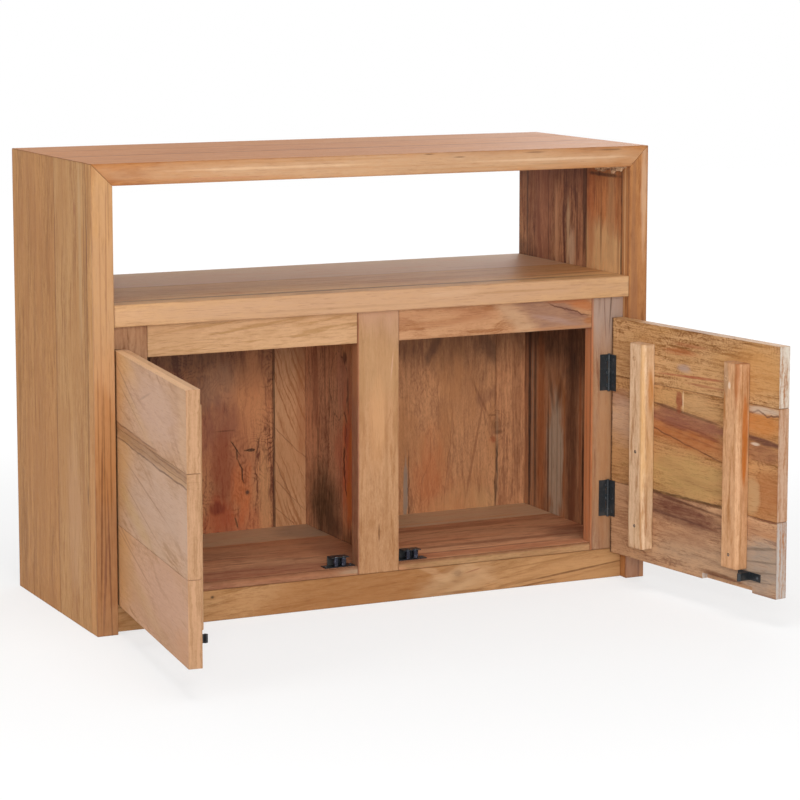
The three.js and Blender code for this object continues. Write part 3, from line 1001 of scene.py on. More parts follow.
STRAIGHT = Teak(bands=0.8, lines=1.3, fibres=0.8)
FLAT = Teak(pith_across=0.5, pith_depth=-14.0, wander=8.0, bands=0.9, lines=1.0)
CURLY = replace(FLAT, wander=10.0, blotch=0.6, ripple=2.4)
ROUGH = replace(FLAT, pith_depth=-24.0, wander=11.0, bands=1.1, fibres=1.3, roughness=0.65, sheen=0.2)
DIVIDER = replace(ROUGH, bands=0.8, lines=0.8, burr=5.0, speck=0.8)
BACK_ROUGH = replace(ROUGH, shows=(1.0, 0.3))
BACK_CURLY = replace(CURLY, shows=(1.0, 0.3))
LEFT_DOOR = replace(
    FLAT, pith_depth=-34.0, wander=9.0, bands=0.8, lines=1.2, fibres=0.8, blotch=0.7, burr=7.0, curl=0.3,
    edge=0.08, end="b88e6b", end_grain="9c7450", shows=(1.0, 0.35),
)
RIGHT_DOOR = replace(FLAT, fibres=1.6, curl=0.6, speck=1.3, shows=(0.2, 1.0))

FrontStreak = partial(Streak, face=Face.FRONT)
CrownStreak = partial(Streak, face=Face.CROWN)
HINGE_SHADOW = Band(-9, 5, "3f281b", 0.85, soft=2.5, ragged=1.5)

TOP_BOARDS = {
    "top_board_1": board(STRAIGHT, "b57843 9b5d2c af733d", 1.1, bands=0.6, lines=1.1, blotch=0.3, marks=(
        Streak(400, 128, 900, 9, "784822", 0.75, soft=0.3, ragged=0.2),
        Streak(250, 60, 420, 9, "a36430", 0.45), Streak(610, 84, 260, 8, "a36430", 0.4),
        FrontStreak(430, 14, 760, 30, "c9a480", 0.7, ragged=0.3),
        FrontStreak(170, 5, 140, 3, "b77f5b", 0.6), FrontStreak(130, 2, 160, 2, "9d7352", 0.5),
        FrontStreak(300, 23, 300, 2.4, "b58558", 0.55), FrontStreak(560, 6, 300, 2.4, "b58558", 0.5),
        FrontStreak(420, 12, 260, 2, "ba8a60", 0.5), FrontStreak(250, 16, 260, 3, "ddb690", 0.5),
        FrontStreak(640, 14, 200, 3, "ddba99", 0.5), FrontStreak(468, 26, 14, 1.6, "735036"),
        FrontStreak(512, 21, 16, 1.6, "735036", 0.7), FrontStreak(625, 24, 26, 2.0, "825e42", 0.7),
        FrontStreak(740, 24, 30, 2.4, "805c3c"), FrontStreak(655, 8, 60, 2.0, "a37b55", 0.5),
    )),
    "top_board_2": board(STRAIGHT, "b87a44 9d5f2d ab6f3a", 2.3, pith_across=-1.6, blotch=0.3, marks=(
        Streak(400, 97, 900, 8, "87522a", 0.6, soft=0.3, ragged=0.2),
        Streak(250, 52, 420, 9, "9e602e", 0.45), Streak(560, 30, 300, 7, "9e602e", 0.4),
    )),
    "top_board_3": board(STRAIGHT, "b47844 a46735 ab6f3d", 3.7, bands=0.4, blotch=0.3),
}

SIDE_BOARDS = {
    "left_side_edging": board(STRAIGHT, "c2915c a5703d b9844c", 5.1, pith_across=6.0, marks=(
        Band(0, 310, "a46936", 0.35, soft=50, ragged=60),
        Streak(545, 12, 110, 14, "986736", 0.6, ragged=0.4), Streak(490, 20.5, 60, 3, "713423", ragged=0.3),
        Crack(400, 20.8, 420, 2.2, 0.0, 1.2, tone="714a27", strength=0.85),
        FrontStreak(300, 14, 640, 60, "ba8e65"), FrontStreak(90, 14, 330, 60, "8e5f3a", 0.75, ragged=0.3),
        FrontStreak(240, 14, 150, 40, "ab703a", 0.5),
        FrontStreak(150, 8, 260, 2.4, "693d20", 0.7, lean=0.02),
        FrontStreak(90, 18, 180, 2.4, "663b26", 0.7, lean=-0.02),
        FrontStreak(230, 21, 200, 2, "754b28", 0.6), FrontStreak(200, 12.5, 220, 1.8, "754b28", 0.6),
        FrontStreak(260, 5, 160, 1.8, "835530", 0.6), FrontStreak(60, 11, 120, 3, "6d4230", 0.6, lean=0.05),
        FrontStreak(470, 18, 200, 2.2, "9a6a45", 0.6, lean=0.01),
        FrontStreak(420, 10, 300, 2.2, "a3734c", 0.5), FrontStreak(540, 22, 90, 2, "916541", 0.5),
    )),
    "left_side_board_1": board(
        STRAIGHT, "b88a57 9a6838 a97644", 6.2, wander=9.0, bands=0.9, lines=1.1, blotch=0.6, marks=(
            Streak(480, 24, 260, 12, "b6946b", 0.5), Streak(470, 9, 330, 3, "85572f", 0.65, ragged=0.3),
            Streak(330, 3, 330, 4, "885b32", 0.55), Streak(180, 6, 30, 3, "5a381d", 0.7),
            Streak(540, 44, 18, 4, "8a4a29", 0.7),
            Streak(300, 123, 620, 2, "7f5432", 0.65, soft=0.3, ragged=0.3),
            Streak(140, 60, 200, 50, "bb906b", 0.4),
    )),
    "left_side_board_2": board(
        STRAIGHT, "b6824d 93612d a6703e", 7.4, pith_across=-1.4, wander=9.0, bands=0.9, lines=1.1,
        blotch=0.6, marks=(
            Streak(300, 120, 420, 14, "a06c3a", 0.4), Streak(300, 167, 560, 8, "bb8346", 0.5),
            Streak(120, 70, 180, 60, "a7723d", 0.45),
    )),
    "right_side_edging": board(STRAIGHT, "b37a48 8b532a 9e6438", 8.3, pith_across=5.0, marks=(
        FrontStreak(480, 6, 260, 6, "8e6041", 0.55, lean=0.01), FrontStreak(380, 10, 200, 7, "91603f", 0.6),
        FrontStreak(540, 22, 160, 8, "d2a986", 0.6), FrontStreak(40, 14, 110, 40, "ab836b", 0.7),
        FrontStreak(20, 20, 60, 3, "724d41", 0.6), Streak(430, 21, 620, 3, "5e3922", 0.7, ragged=0.3),
        Streak(440, 13, 300, 3.4, "d7ac7e", 0.6), Streak(430, 3.5, 620, 3, "7b4c30", 0.6, ragged=0.4),
    )),
    "right_side_board_1": board(ROUGH, "d5915a 935636 c27844", 9.9, pith_across=-0.6, bands=0.8, marks=(
        Band(400, 474, "ddb37f", 0.75, slant=-0.25, soft=18, ragged=26),
        Streak(505, 86, 150, 22, "b86739", 0.55), Band(540, 620, "8a5131", 0.55, soft=20, ragged=26),
        Streak(510, 28, 150, 22, "b88c61", 0.55), Streak(490, 56, 110, 5, "7e4b2c", 0.6),
        Streak(500, 8, 190, 8, "8a5836", 0.6), Streak(556, 46, 5, 84, "46291a", 0.75, ragged=0.8),
        Streak(300, 1, 620, 2.4, "392014", 0.9, ragged=0.2),
        Streak(440, 97.5, 620, 2.4, "422619", ragged=0.2),
    )),
    "right_side_board_2": board(
        ROUGH, "c18860 6a3e2c a06446", 10.5, bands=0.9, lines=1.4, fibres=1.4, ring_pitch=5.0, marks=(
            Band(-40, 396, "b98d6a", 0.45, soft=6, ragged=6), Streak(190, 128, 320, 22, "a8673c", 0.7),
            Streak(130, 84, 196, 44, "c0ae97", 0.9, soft=0.3, ragged=0.6),
            Streak(135, 95, 180, 3, "85766a", 0.6), Streak(130, 79, 170, 3, "85766a", 0.6),
            Streak(120, 68, 150, 2.4, "8a7b6c", 0.6),
            Streak(236, 70, 40, 26, "8f5a30", 0.6, lean=0.4, soft=0.8, ragged=1.2),
            Streak(170, 38, 320, 30, "5c3a2a", 0.75), Streak(80, 30, 120, 20, "84523a", 0.6),
            Streak(200, 12, 220, 7, "a2603a", 0.65), Streak(123, 3, 200, 5, "2e1c15", 0.85),
            Streak(188, 146, 300, 8, "57473c", 0.7), Streak(190, 155, 260, 4, "9c8c7c", 0.6),
            Streak(180, 163, 420, 8, "413834", 0.85),
            Band(256, 396, "3f2c25", 0.75, slant=-0.2, soft=34, ragged=26),
            Band(535, 620, "6e4334", soft=24, ragged=34), Streak(490, 128, 160, 46, "ae7053", 0.5),
            Streak(466, 86, 110, 10, "d5a277", 0.6), Streak(470, 52, 100, 8, "ddb98d", 0.65, ragged=0.8),
            Streak(440, 40, 60, 16, "d6b18f", 0.7, ragged=0.7), Streak(470, 26, 120, 5, "593527", 0.6),
            Streak(520, 5, 190, 9, "502d1c"), Streak(500, 174, 170, 5, "584338", 0.7),
            Streak(480, 110, 150, 3, "5a3c2f", 0.55), Streak(120, 106, 200, 5, "5c3d2e"),
            Streak(130, 58, 180, 4, "a8683c", 0.6, ragged=0.7),
            Streak(232, 74, 46, 9, "513629", 0.55, lean=-0.3, soft=0.9, ragged=1.0),
            Streak(236, 98, 50, 9, "513629", 0.55, lean=0.25, soft=0.9, ragged=1.0),
    )),
}

SHELF_BOARDS = {
    "shelf_edging": board(STRAIGHT, "cd9f6f ad8054 c29462", 11.0, marks=(
        FrontStreak(372, 14, 740, 34, "c29875", 0.9, ragged=0.25),
        FrontStreak(300, 8, 240, 3, "b08761", 0.5), FrontStreak(560, 16, 180, 3, "ac8157", 0.5),
        FrontStreak(470, 18, 80, 8, "cba381", 0.6),
    )),
    "shelf_board_1": board(FLAT, "ddb17a c48a57 ddaa72", 12.5, pith_across=0.2, lines=1.3, marks=(
        Streak(372, 4, 800, 10, "724f34", 0.85, soft=0.3, ragged=0.15),
        Streak(180, 30, 260, 8, "cc8f59", 0.6), Streak(420, 70, 300, 9, "c88954", 0.6),
        Streak(600, 48, 240, 6, "dd9a5f", 0.6), Streak(655, 120, 120, 6, "ce9058", 0.6),
        Streak(690, 36, 150, 9, "9b5c3d", 0.6, lean=0.12, ragged=0.4),
        Streak(764, 34, 40, 34, "977665", 0.6, ragged=0.7),
    )),
    "shelf_board_2": board(FLAT, "ddbb99 ddaf87 ddb695", 13.6, pith_across=0.8, bands=0.5, marks=(
        Streak(480, 60, 260, 6, "ddac82", 0.5),
        Crack(600, 30, 90, 1.2, 0.02, 1.0, tone="b07b5b", strength=0.7),
        CrownStreak(372, 14, 900, 80, "c49366", 0.75, ragged=0.2),
    )),
}

FRAME_BOARDS = {
    "left_stile": board(STRAIGHT, "aa7e5b 825536 9e6e4c", 14.1, pith_across=3.5, bands=0.7),
    "centre_stile": board(
        STRAIGHT, "be9169 9d6c42 b6855c", 15.2, pith_across=0.45, pith_depth=-40.0, wander=7.0, bands=1.0,
        lines=0.9, fibres=0.6, marks=(
            Band(340, 400, "c3987a", 0.75, slant=0.5, soft=26),
            Band(236, 330, "b1895f", 0.5, soft=24, ragged=24),
            Streak(200, 30, 110, 24, "cb996b", 0.55, ragged=0.4), Streak(250, 6, 120, 9, "a5784e", 0.5),
            Streak(230, 56, 150, 7, "a5784e", 0.5),
            Streak(366, 11, 12, 3.2, "563628", 0.85, lean=0.3, ragged=0.3),
            Streak(362, 14, 9, 2.6, "643f2d", lean=-0.5, ragged=0.3),
            Streak(276, 50, 30, 1.6, "cda185", 0.7, lean=0.1), Streak(54, 31, 24, 2.0, "663f25"),
            Streak(150, 42, 180, 6, "a07249", 0.45), FrontStreak(176, 9, 420, 60, "8f5943"),
            FrontStreak(300, 9, 130, 60, "a56943", 0.6),
    )),
    "right_stile": board(STRAIGHT, "aa8668 865b43 9c7459", 16.7, bands=0.7, lines=1.2, marks=(
        Band(290, 400, "af9789", 0.75, soft=40), Streak(355, 12, 60, 4, "8f715f", 0.6, lean=0.04),
        Streak(350, 30, 90, 2.2, "614737", 0.7, lean=0.06),
        Streak(330, 20, 80, 1.8, "7f5e4e", 0.6, lean=-0.05), Streak(180, 2, 330, 4, "a0683e", 0.6),
        Streak(130, 26, 220, 40, "b88456", 0.6, soft=0.8),
        FrontStreak(176, 9, 420, 60, "c27649", ragged=0.3), FrontStreak(190, 3, 330, 2.4, "76472e", 0.6),
        FrontStreak(150, 13, 260, 2.4, "8b5738", 0.5, ragged=0.6),
    )),
    "left_top_rail": board(STRAIGHT, "cda178 b28759 be9165", 17.3, drift=0.12, bands=0.5, fibres=1.2),
    "right_top_rail": board(CURLY, "c29169 9d6841 b17b56", 18.8, bands=0.8, burr=5.0, speck=0.8, marks=(
        Band(176, 212, "c6a07d", 0.7, slant=0.8, ragged=12),
        Band(212, 292, "96725f", 0.7, slant=0.9, ragged=16),
        Streak(236, 14, 60, 8, "ac8b7e", 0.6, lean=-0.2, ragged=0.7),
        Streak(262, 24, 50, 7, "845b4e", 0.6, lean=-0.4, ragged=0.7),
        Streak(276, 33, 46, 15, "b77042", lean=-0.3, ragged=0.6), Streak(246, 39, 50, 5, "b07049", 0.7),
        Crack(256, 27, 76, 1.4, -0.3, 5.0, tone="5a3022", strength=0.75),
        Streak(288, 10, 14, 8, "a86839", 0.7, ragged=0.7), Streak(60, 20, 120, 10, "aa724a", 0.5, lean=0.1),
        Streak(240, 2.5, 120, 4, "b78055", 0.6),
    )),
    "bottom_rail": board(STRAIGHT, "b88b5d 8f6237 ab7948", 19.4, drift=0.1, bands=0.9, marks=(
        Streak(350, 20, 300, 60, "99653d", 0.35, soft=0.8),
        Streak(650, 20, 240, 60, "c69767", 0.4, soft=0.8),
        Band(196, 440, "9c6839", slant=-1.0, soft=24, ragged=26),
        Streak(490, 18, 110, 40, "bc966f", 0.6, lean=0.2, ragged=0.7),
        Streak(470, 14, 60, 16, "9f754c", 0.5, lean=0.3, ragged=0.8),
        Streak(452, 34, 60, 12, "c69d75", 0.45, lean=-0.6, ragged=0.9),
        Streak(524, 28, 60, 12, "c3996f", 0.4, lean=-0.6, ragged=0.9), Knot(490, 29, 4.2, "67442f", 0.6),
        Streak(500, 3, 90, 4, "7a502d", 0.6, ragged=0.7),
        Streak(672, 15, 150, 2.4, "6b4424", 0.75, lean=0.1, ragged=0.3),
        Streak(610, 3, 60, 2.4, "714827", 0.7, lean=0.1, ragged=0.3),
        Streak(600, 30, 120, 2.4, "906439", 0.5, lean=0.08), Knot(134, 32, 1.6, "38281d", 0.9),
        Streak(478, 24, 60, 11, "cba67c", 0.3, lean=0.5, soft=0.9, ragged=0.9),
        Streak(500, 12, 60, 9, "cba67c", 0.25, lean=0.4, soft=0.9, ragged=0.9),
        Streak(512, 30, 26, 2, "894a36", 0.5, lean=0.2, ragged=0.7),
    )),
    "bottom_back_rail": board(ROUGH, "a87550 7c4c30 945f40", 20.6),
    "centre_bearer": board(ROUGH, "a87550 7c4c30 945f40", 23.0),
}

FLOOR_BOARDS = {
    "floor_board_1": board(ROUGH, "dda77e b98161 dd986e", 21.9, lines=1.6, fibres=1.5, burr=4.0, marks=(
        # The first streak on the next line is painted shade: darker wood along the front of the left
        # cupboard's floor, where the rails shade it.
        Streak(190, 24, 420, 60, "8c4a36", 0.6, ragged=0.4), Streak(360, 110, 70, 150, "ac785c", 0.6),
        Streak(582, 174, 220, 18, "a3694b", 0.6, ragged=0.7),
        Streak(590, 66, 260, 16, "975d42", 0.65, ragged=0.7),
        Streak(500, 96, 180, 10, "a3694b", 0.55, ragged=0.7),
        Streak(716, 70, 90, 90, "875841", 0.65, ragged=0.6), Streak(560, 20, 420, 24, "bd7a55", 0.55),
        # Painted shade: the dark streak on the next line darkens the front of the floor beside the centre
        # stile.
        Streak(420, 20, 90, 44, "8c4a36", 0.4, ragged=0.6),
        Streak(540, 34, 300, 5, "844e38", 0.6, ragged=0.6), Streak(280, 150, 260, 18, "dda781", 0.4),
        Streak(204, 112, 170, 8, "c58161", 0.5), FrontStreak(190, 8, 390, 30, "7e563c", 0.6),
        FrontStreak(560, 8, 390, 30, "96794f", 0.7), FrontStreak(340, 8, 50, 10, "a49078"),
        FrontStreak(250, 7, 180, 6, "a16a49", 0.5),
        FrontStreak(372, 10.5, 900, 6, "84563b", 0.75, ragged=0.25),
    )),
    "floor_board_2": board(ROUGH, "ddc29d ddb792 ddbea0", 22.2, bands=0.8, lines=1.2, marks=(
        Streak(372, 40, 90, 110, "bb9f87", 0.75), Streak(600, 16, 240, 10, "dda77a", 0.5, ragged=0.7),
        Streak(200, 4, 400, 8, "ddae84", 0.4),
    )),
}

DIVIDER_BOARDS = {
    "divider_board_1": board(DIVIDER, "ddac7f aa7152 dd9a6e", 24.4, curl=0.45, marks=(
        Streak(222, 128, 80, 40, "c37f69", 0.5, ragged=0.6),
        Streak(104, 118, 150, 44, "d96b47", 0.75, soft=0.7, ragged=0.8),
        Streak(134, 106, 50, 16, "dd8045", soft=0.6, ragged=0.8),
        Streak(66, 113, 70, 18, "dd8343", 0.85, soft=0.6, ragged=0.8),
        Streak(150, 122, 30, 12, "af483a", 0.6, ragged=0.9),
        Eye(216, 147, 92, 62, 2.6, tone="614335", strength=0.6),
        Crack(206, 117, 60, 2.2, 0.02, 4.0, waves=24.0, tone="52382a", strength=0.75),
        Streak(258, 127, 16, 12, "503930", 0.7, ragged=0.8),
        Streak(174, 124, 14, 5, "53392b", 0.7, lean=0.5),
        Crack(112, 130, 50, 3.0, 0.0, 3.0, tone="34251a", strength=0.95),
        Crack(140, 124, 70, 1.6, 0.05, 4.0, tone="66412f", strength=0.7),
        Crack(84, 126, 44, 2.4, 0.1, 4.0, tone="422c1e", strength=0.85), Band(-20, 20, "724f39", ragged=20),
    )),
    "divider_board_2": board(DIVIDER, "dda781 94624a db9b73", 25.3, curl=0.3, marks=(
        Streak(222, 4, 80, 28, "c37f69", 0.4, ragged=0.6),
        Eye(216, 10.7, 92, 62, 2.6, tone="614335", strength=0.6),
        Crack(192, 43, 70, 1.8, 0.0, 4.0, waves=24.0, tone="624735", strength=0.6),
        Streak(250, 58, 110, 4, "734f3e", 0.5, ragged=0.7),
        Streak(208, 92, 110, 20, "925540", 0.5, ragged=0.7),
        Streak(120, 10, 70, 26, "cf7155", 0.5, soft=0.8, ragged=0.8), Streak(131, 82, 36, 3, "554233", 0.7),
        # Painted shade: these two dark soft patches low on the board stand in for the shade in the corner by
        # the floor.
        Streak(42, 66, 96, 92, "483725", 0.85, soft=0.7, ragged=0.6),
        Streak(16, 30, 50, 50, "604837", 0.7, soft=0.7, ragged=0.7),
        Band(270, 400, "b2825b", 0.5, ragged=30),
    )),
}

BACK_BOARDS = {
    "back_plank_1": board(BACK_ROUGH, "a06c48 5f3724 8a583c", 26.1, curl=0.5, marks=(
        # Painted shade: the dark band over the top of the plank stands in for the shade under the top rail
        # and shelf.
        Band(250, 400, "3a2a1e", 0.7, soft=40, ragged=40),
    )),
    "back_plank_2": board(
        BACK_CURLY, "c4885c 72412e b26f4c", 27.7, lines=0.9, burr=8.0, curl=0.75, curl_size=(15.0, 9.0),
        speck=1.0, marks=(
            Streak(236, 66, 60, 60, "6c4539", 0.6, ragged=0.9),
            Streak(262, 130, 40, 70, "715040", 0.5, ragged=0.9),
            Streak(176, 78, 60, 34, "8f5141", 0.5, ragged=0.9),
            Streak(52, 140, 50, 44, "c5603b", 0.3, ragged=0.9),
            # Painted shade: the dark band over the top of the plank stands in for the shade under the top
            # rail and shelf.
            Band(272, 400, "694737", 0.55, slant=0.12, soft=34, ragged=36),
            Streak(300, 60, 70, 120, "604537", 0.5), Streak(248, 100, 60, 54, "bf9271", 0.4),
            Streak(232, 150, 120, 50, "d79463", 0.5), Streak(200, 106, 60, 46, "834e41", 0.5, ragged=0.8),
            Streak(124, 106, 120, 30, "8f462d", 0.65, ragged=0.7),
            Streak(58, 100, 54, 50, "b14a2a", 0.5, ragged=0.8),
            Streak(74, 96, 16, 24, "6f2c1e", 0.6, ragged=0.9),
            Streak(96, 134, 70, 30, "d67540", 0.5, ragged=0.7), Streak(82, 170, 130, 16, "d69f6c", 0.5),
            Crack(134, 132, 64, 1.8, -0.27, 4.0, tone="2c1b13", strength=0.8),
            Crack(158, 126, 26, 1.6, -0.7, 3.0, tone="2c1b13", strength=0.8),
            Crack(160, 160, 30, 1.3, 0.3, 4.0, tone="4f2d1e", strength=0.6),
            Streak(154, 147, 3.4, 16, "2c1b13", soft=0.3, ragged=0.9),
            Streak(184, 108, 2.4, 26, "5e3726", 0.5, lean=1.0, ragged=0.9),
            Crack(52, 126, 18, 1.8, -0.3, 2.0, tone="4f3b28", strength=0.75),
            Knot(94, 143, 2.6, "2d2a2a", 0.9, stretch=1.1, reach=6.0),
            Crack(165, 182.8, 360, 1.3, 0.0, 0.3, tone="3c2417", strength=0.7),
    )),
    "back_plank_3": board(
        BACK_ROUGH, "c9976d a67049 bc875c", 28.4, pith_across=2.4, pith_depth=-60.0, drift=-0.36,
        wander=5.0, bands=0.35, lines=2.0, fibres=0.7, ring_pitch=2.6, burr=3.0, marks=(
            Crack(158, 26, 62, 1.4, -1.0, 3.0, tone="7c4f36", strength=0.55),
            Crack(108, 14, 90, 1.3, -0.45, 3.0, tone="7c4f36", strength=0.5),
            Crack(86, 23, 60, 1.4, -0.95, 3.0, tone="7c4f36", strength=0.5),
            Crack(56, 15, 34, 1.3, -1.1, 2.0, tone="7c4f36", strength=0.5),
            # The Band on the next line is painted shade at the top of the plank, under the top rail and
            # shelf.
            Streak(230, 42, 200, 14, "a46842", 0.5), Band(280, 400, "8b5f47", soft=40, ragged=30),
            Crack(165, 0.8, 360, 1.5, 0.0, 0.3, tone="43271b", strength=0.8),
    )),
    "back_plank_4": board(
        BACK_CURLY, "ce9668 9e6c4b bf8657", 29.2, bands=0.4, lines=0.7, fibres=0.8, ripple=1.4, burr=6.0,
        curl=0.4, curl_size=(8.0, 16.0), speck=0.8, marks=(
            Eye(160, 174, 48, 36, 2.4, tone="6a422d", strength=0.35, echoes=2.0),
            Knot(160, 174, 6.0, "6c432e", 0.7, reach=4.0),
            Streak(150, 175, 8, 18, "5a3527", 0.7, ragged=0.9),
            Streak(140, 168, 10, 12, "ac5b3a", 0.6, ragged=0.8),
            Streak(176, 172, 3, 22, "764c36", 0.6, ragged=0.7),
            Crack(88, 173, 110, 2.2, 0.03, 4.0, waves=22.0, tone="4d3023", strength=0.85),
            Streak(280, 69, 40, 16, "5c4437", 0.6, lean=0.5, ragged=0.8),
            Streak(277, 160, 50, 22, "674b3c", 0.6, lean=-0.6, ragged=0.8),
            Streak(214, 122, 60, 60, "ac774f", 0.4),
            Streak(79, 66, 120, 50, "c47548", 0.6, soft=0.8, ragged=0.8),
            Streak(46, 120, 50, 110, "d7ad79", 0.4), Streak(122, 136, 170, 4, "8a583a", 0.55, lean=0.2),
            Streak(197, 226, 120, 5, "905e3d", 0.5),
            # Painted shade: the dark band over the top of the plank stands in for the shade under the top
            # rail and shelf.
            Band(270, 400, "684736", 0.65, slant=0.1, soft=40, ragged=40),
            Streak(72, 24.5, 84, 7, "958b7f", 0.75, soft=0.4, ragged=0.9),
            Crack(84, 30, 120, 1.6, 0.0, 2.0, tone="482f21", strength=0.7),
            Streak(196, 150, 60, 4, "8b593c", 0.5, lean=-0.5, ragged=0.7),
            Streak(40, 110, 60, 60, "c37f51", 0.5, soft=0.8, ragged=0.8),
            Crack(196, 146, 90, 1.4, -0.35, 9.0, waves=14.0, tone="86573c", strength=0.35),
            Crack(110, 60, 150, 1.3, 0.22, 9.0, waves=14.0, tone="905c3d", strength=0.35),
            Crack(120, 95, 160, 1.3, 0.1, 9.0, waves=14.0, tone="905c3d", strength=0.35),
            Streak(150, 176, 12, 26, "b87f59", 0.5, ragged=1.0),
            Streak(206, 160, 24, 30, "895942", 0.5, lean=0.6, ragged=1.0),
    )),
    "back_plank_5": board(
        BACK_ROUGH, "d2986b 9e6c4c b0754f", 30.8, bands=0.5, lines=0.7, curl=0.3, curl_size=(8.0, 16.0),
        marks=(
            Eye(160, 1.7, 48, 36, 2.4, tone="69422e", strength=0.35, echoes=2.0),
            Knot(160, 1.7, 6.0, "6b432f", 0.7, reach=4.0),
            Streak(150, 2.7, 8, 18, "593527", 0.7, ragged=0.9),
            Streak(120, 2, 150, 5, "b2916f", 0.4, ragged=0.8),
            Crack(88, 1.2, 110, 2.2, 0.03, 4.0, waves=22.0, tone="503c30", strength=0.85),
            # The Band on the next line is painted shade at the top of the plank, under the top rail and
            # shelf.
            Streak(200, 34, 300, 14, "7d4c33", 0.4), Band(270, 400, "5d4132", soft=30, ragged=30),
    )),
}

LEFT_DOOR_BOARDS = {
    "left_door_board_1": board(LEFT_DOOR, "bf9373 a0744d b68967", 31.4, pith_across=1.9, drift=-0.3, marks=(
        Streak(30, 60, 90, 120, "c08f57", 0.6, lean=0.4, soft=0.8),
        Streak(130, 40, 160, 22, "c1996f", 0.5, lean=-0.3, soft=0.8),
        Streak(250, 62, 190, 76, "ba9077", 0.55, soft=0.6, ragged=0.45),
        Streak(60, 50, 150, 40, "b4865d", 0.5, lean=-0.2),
        Streak(90, 80, 170, 3, "8c5f3b", 0.5, lean=-0.25), Streak(40, 100, 90, 3, "8c5f3b", 0.5, lean=-0.3),
        Streak(320, 20, 60, 40, "bd8a66", 0.5), HINGE_SHADOW,
    )),
    "left_door_board_2": board(LEFT_DOOR, "bc9577 9d734c b69377", 32.1, pith_across=1.7, drift=-0.3, marks=(
        Streak(30, 80, 90, 90, "bf8d52", 0.6, lean=0.4, soft=0.8),
        Streak(90, 30, 160, 22, "ba9460", 0.5, lean=-0.3, soft=0.8),
        Streak(250, 92, 140, 18, "c69f84", 0.5, lean=-0.25, soft=0.8),
        Streak(230, 60, 230, 70, "bc9a83", 0.6, soft=0.6, ragged=0.45),
        Streak(330, 60, 50, 110, "c39f87", 0.5), Streak(16, 50, 40, 120, "b1865d", 0.5),
        Streak(173, 121, 800, 20, "976c45", 0.75, lean=-0.02, soft=0.35, ragged=0.35),
        Streak(300, 112, 160, 8, "b68e67", 0.6, lean=-0.02, soft=0.3, ragged=0.3),
        Crack(173, 109.5, 520, 1.8, -0.02, 3.0, waves=18.0, tone="684228", strength=0.75),
        Crack(270, 121, 260, 1.6, -0.02, 2.0, waves=18.0, tone="72492c", strength=0.65),
        Crack(230, 115, 360, 1.2, -0.02, 3.0, waves=18.0, tone="7a5133", strength=0.6),
        Streak(150, 70, 200, 2.6, "87603d", 0.55, lean=-0.2),
        Streak(120, 40, 180, 2.2, "87603d", 0.5, lean=-0.26), HINGE_SHADOW,
    )),
    "left_door_board_3": board(
        LEFT_DOOR, "c09675 9f724c b68d6a", 33.8, pith_across=1.5, drift=-0.34, marks=(
            Streak(20, 60, 70, 90, "c7945c", 0.6, lean=0.4, soft=0.8),
            Streak(70, 84, 90, 24, "ce9e69", 0.5, lean=-0.3, soft=0.8),
            Streak(120, 30, 110, 16, "c29866", 0.5, lean=-0.35, soft=0.8),
            Streak(205, 52, 210, 84, "c39f8a", 0.6, soft=0.6, ragged=0.45),
            Streak(330, 50, 40, 100, "c79e7b", 0.6), Streak(12, 40, 36, 130, "b9885e", 0.6),
            Streak(150, 60, 60, 3, "a1816b", 0.6, lean=0.3, ragged=0.6),
            Streak(60, 62, 110, 3, "88613f", 0.55, lean=-0.4),
            Streak(90, 36, 120, 2.4, "88613f", 0.5, lean=-0.35),
            Streak(60, -1, 600, 15, "986a44", 0.75, lean=-0.02, soft=0.35, ragged=0.35),
            Crack(80, 6, 300, 1.6, -0.02, waves=18.0, tone="73492c", strength=0.7),
            # The pale CrownStreak on the next line is a painted highlight on the door's top edge, where light
            # falls from above.
            CrownStreak(180, 8, 420, 60, "ddb288", ragged=0.2), HINGE_SHADOW,
    )),
}

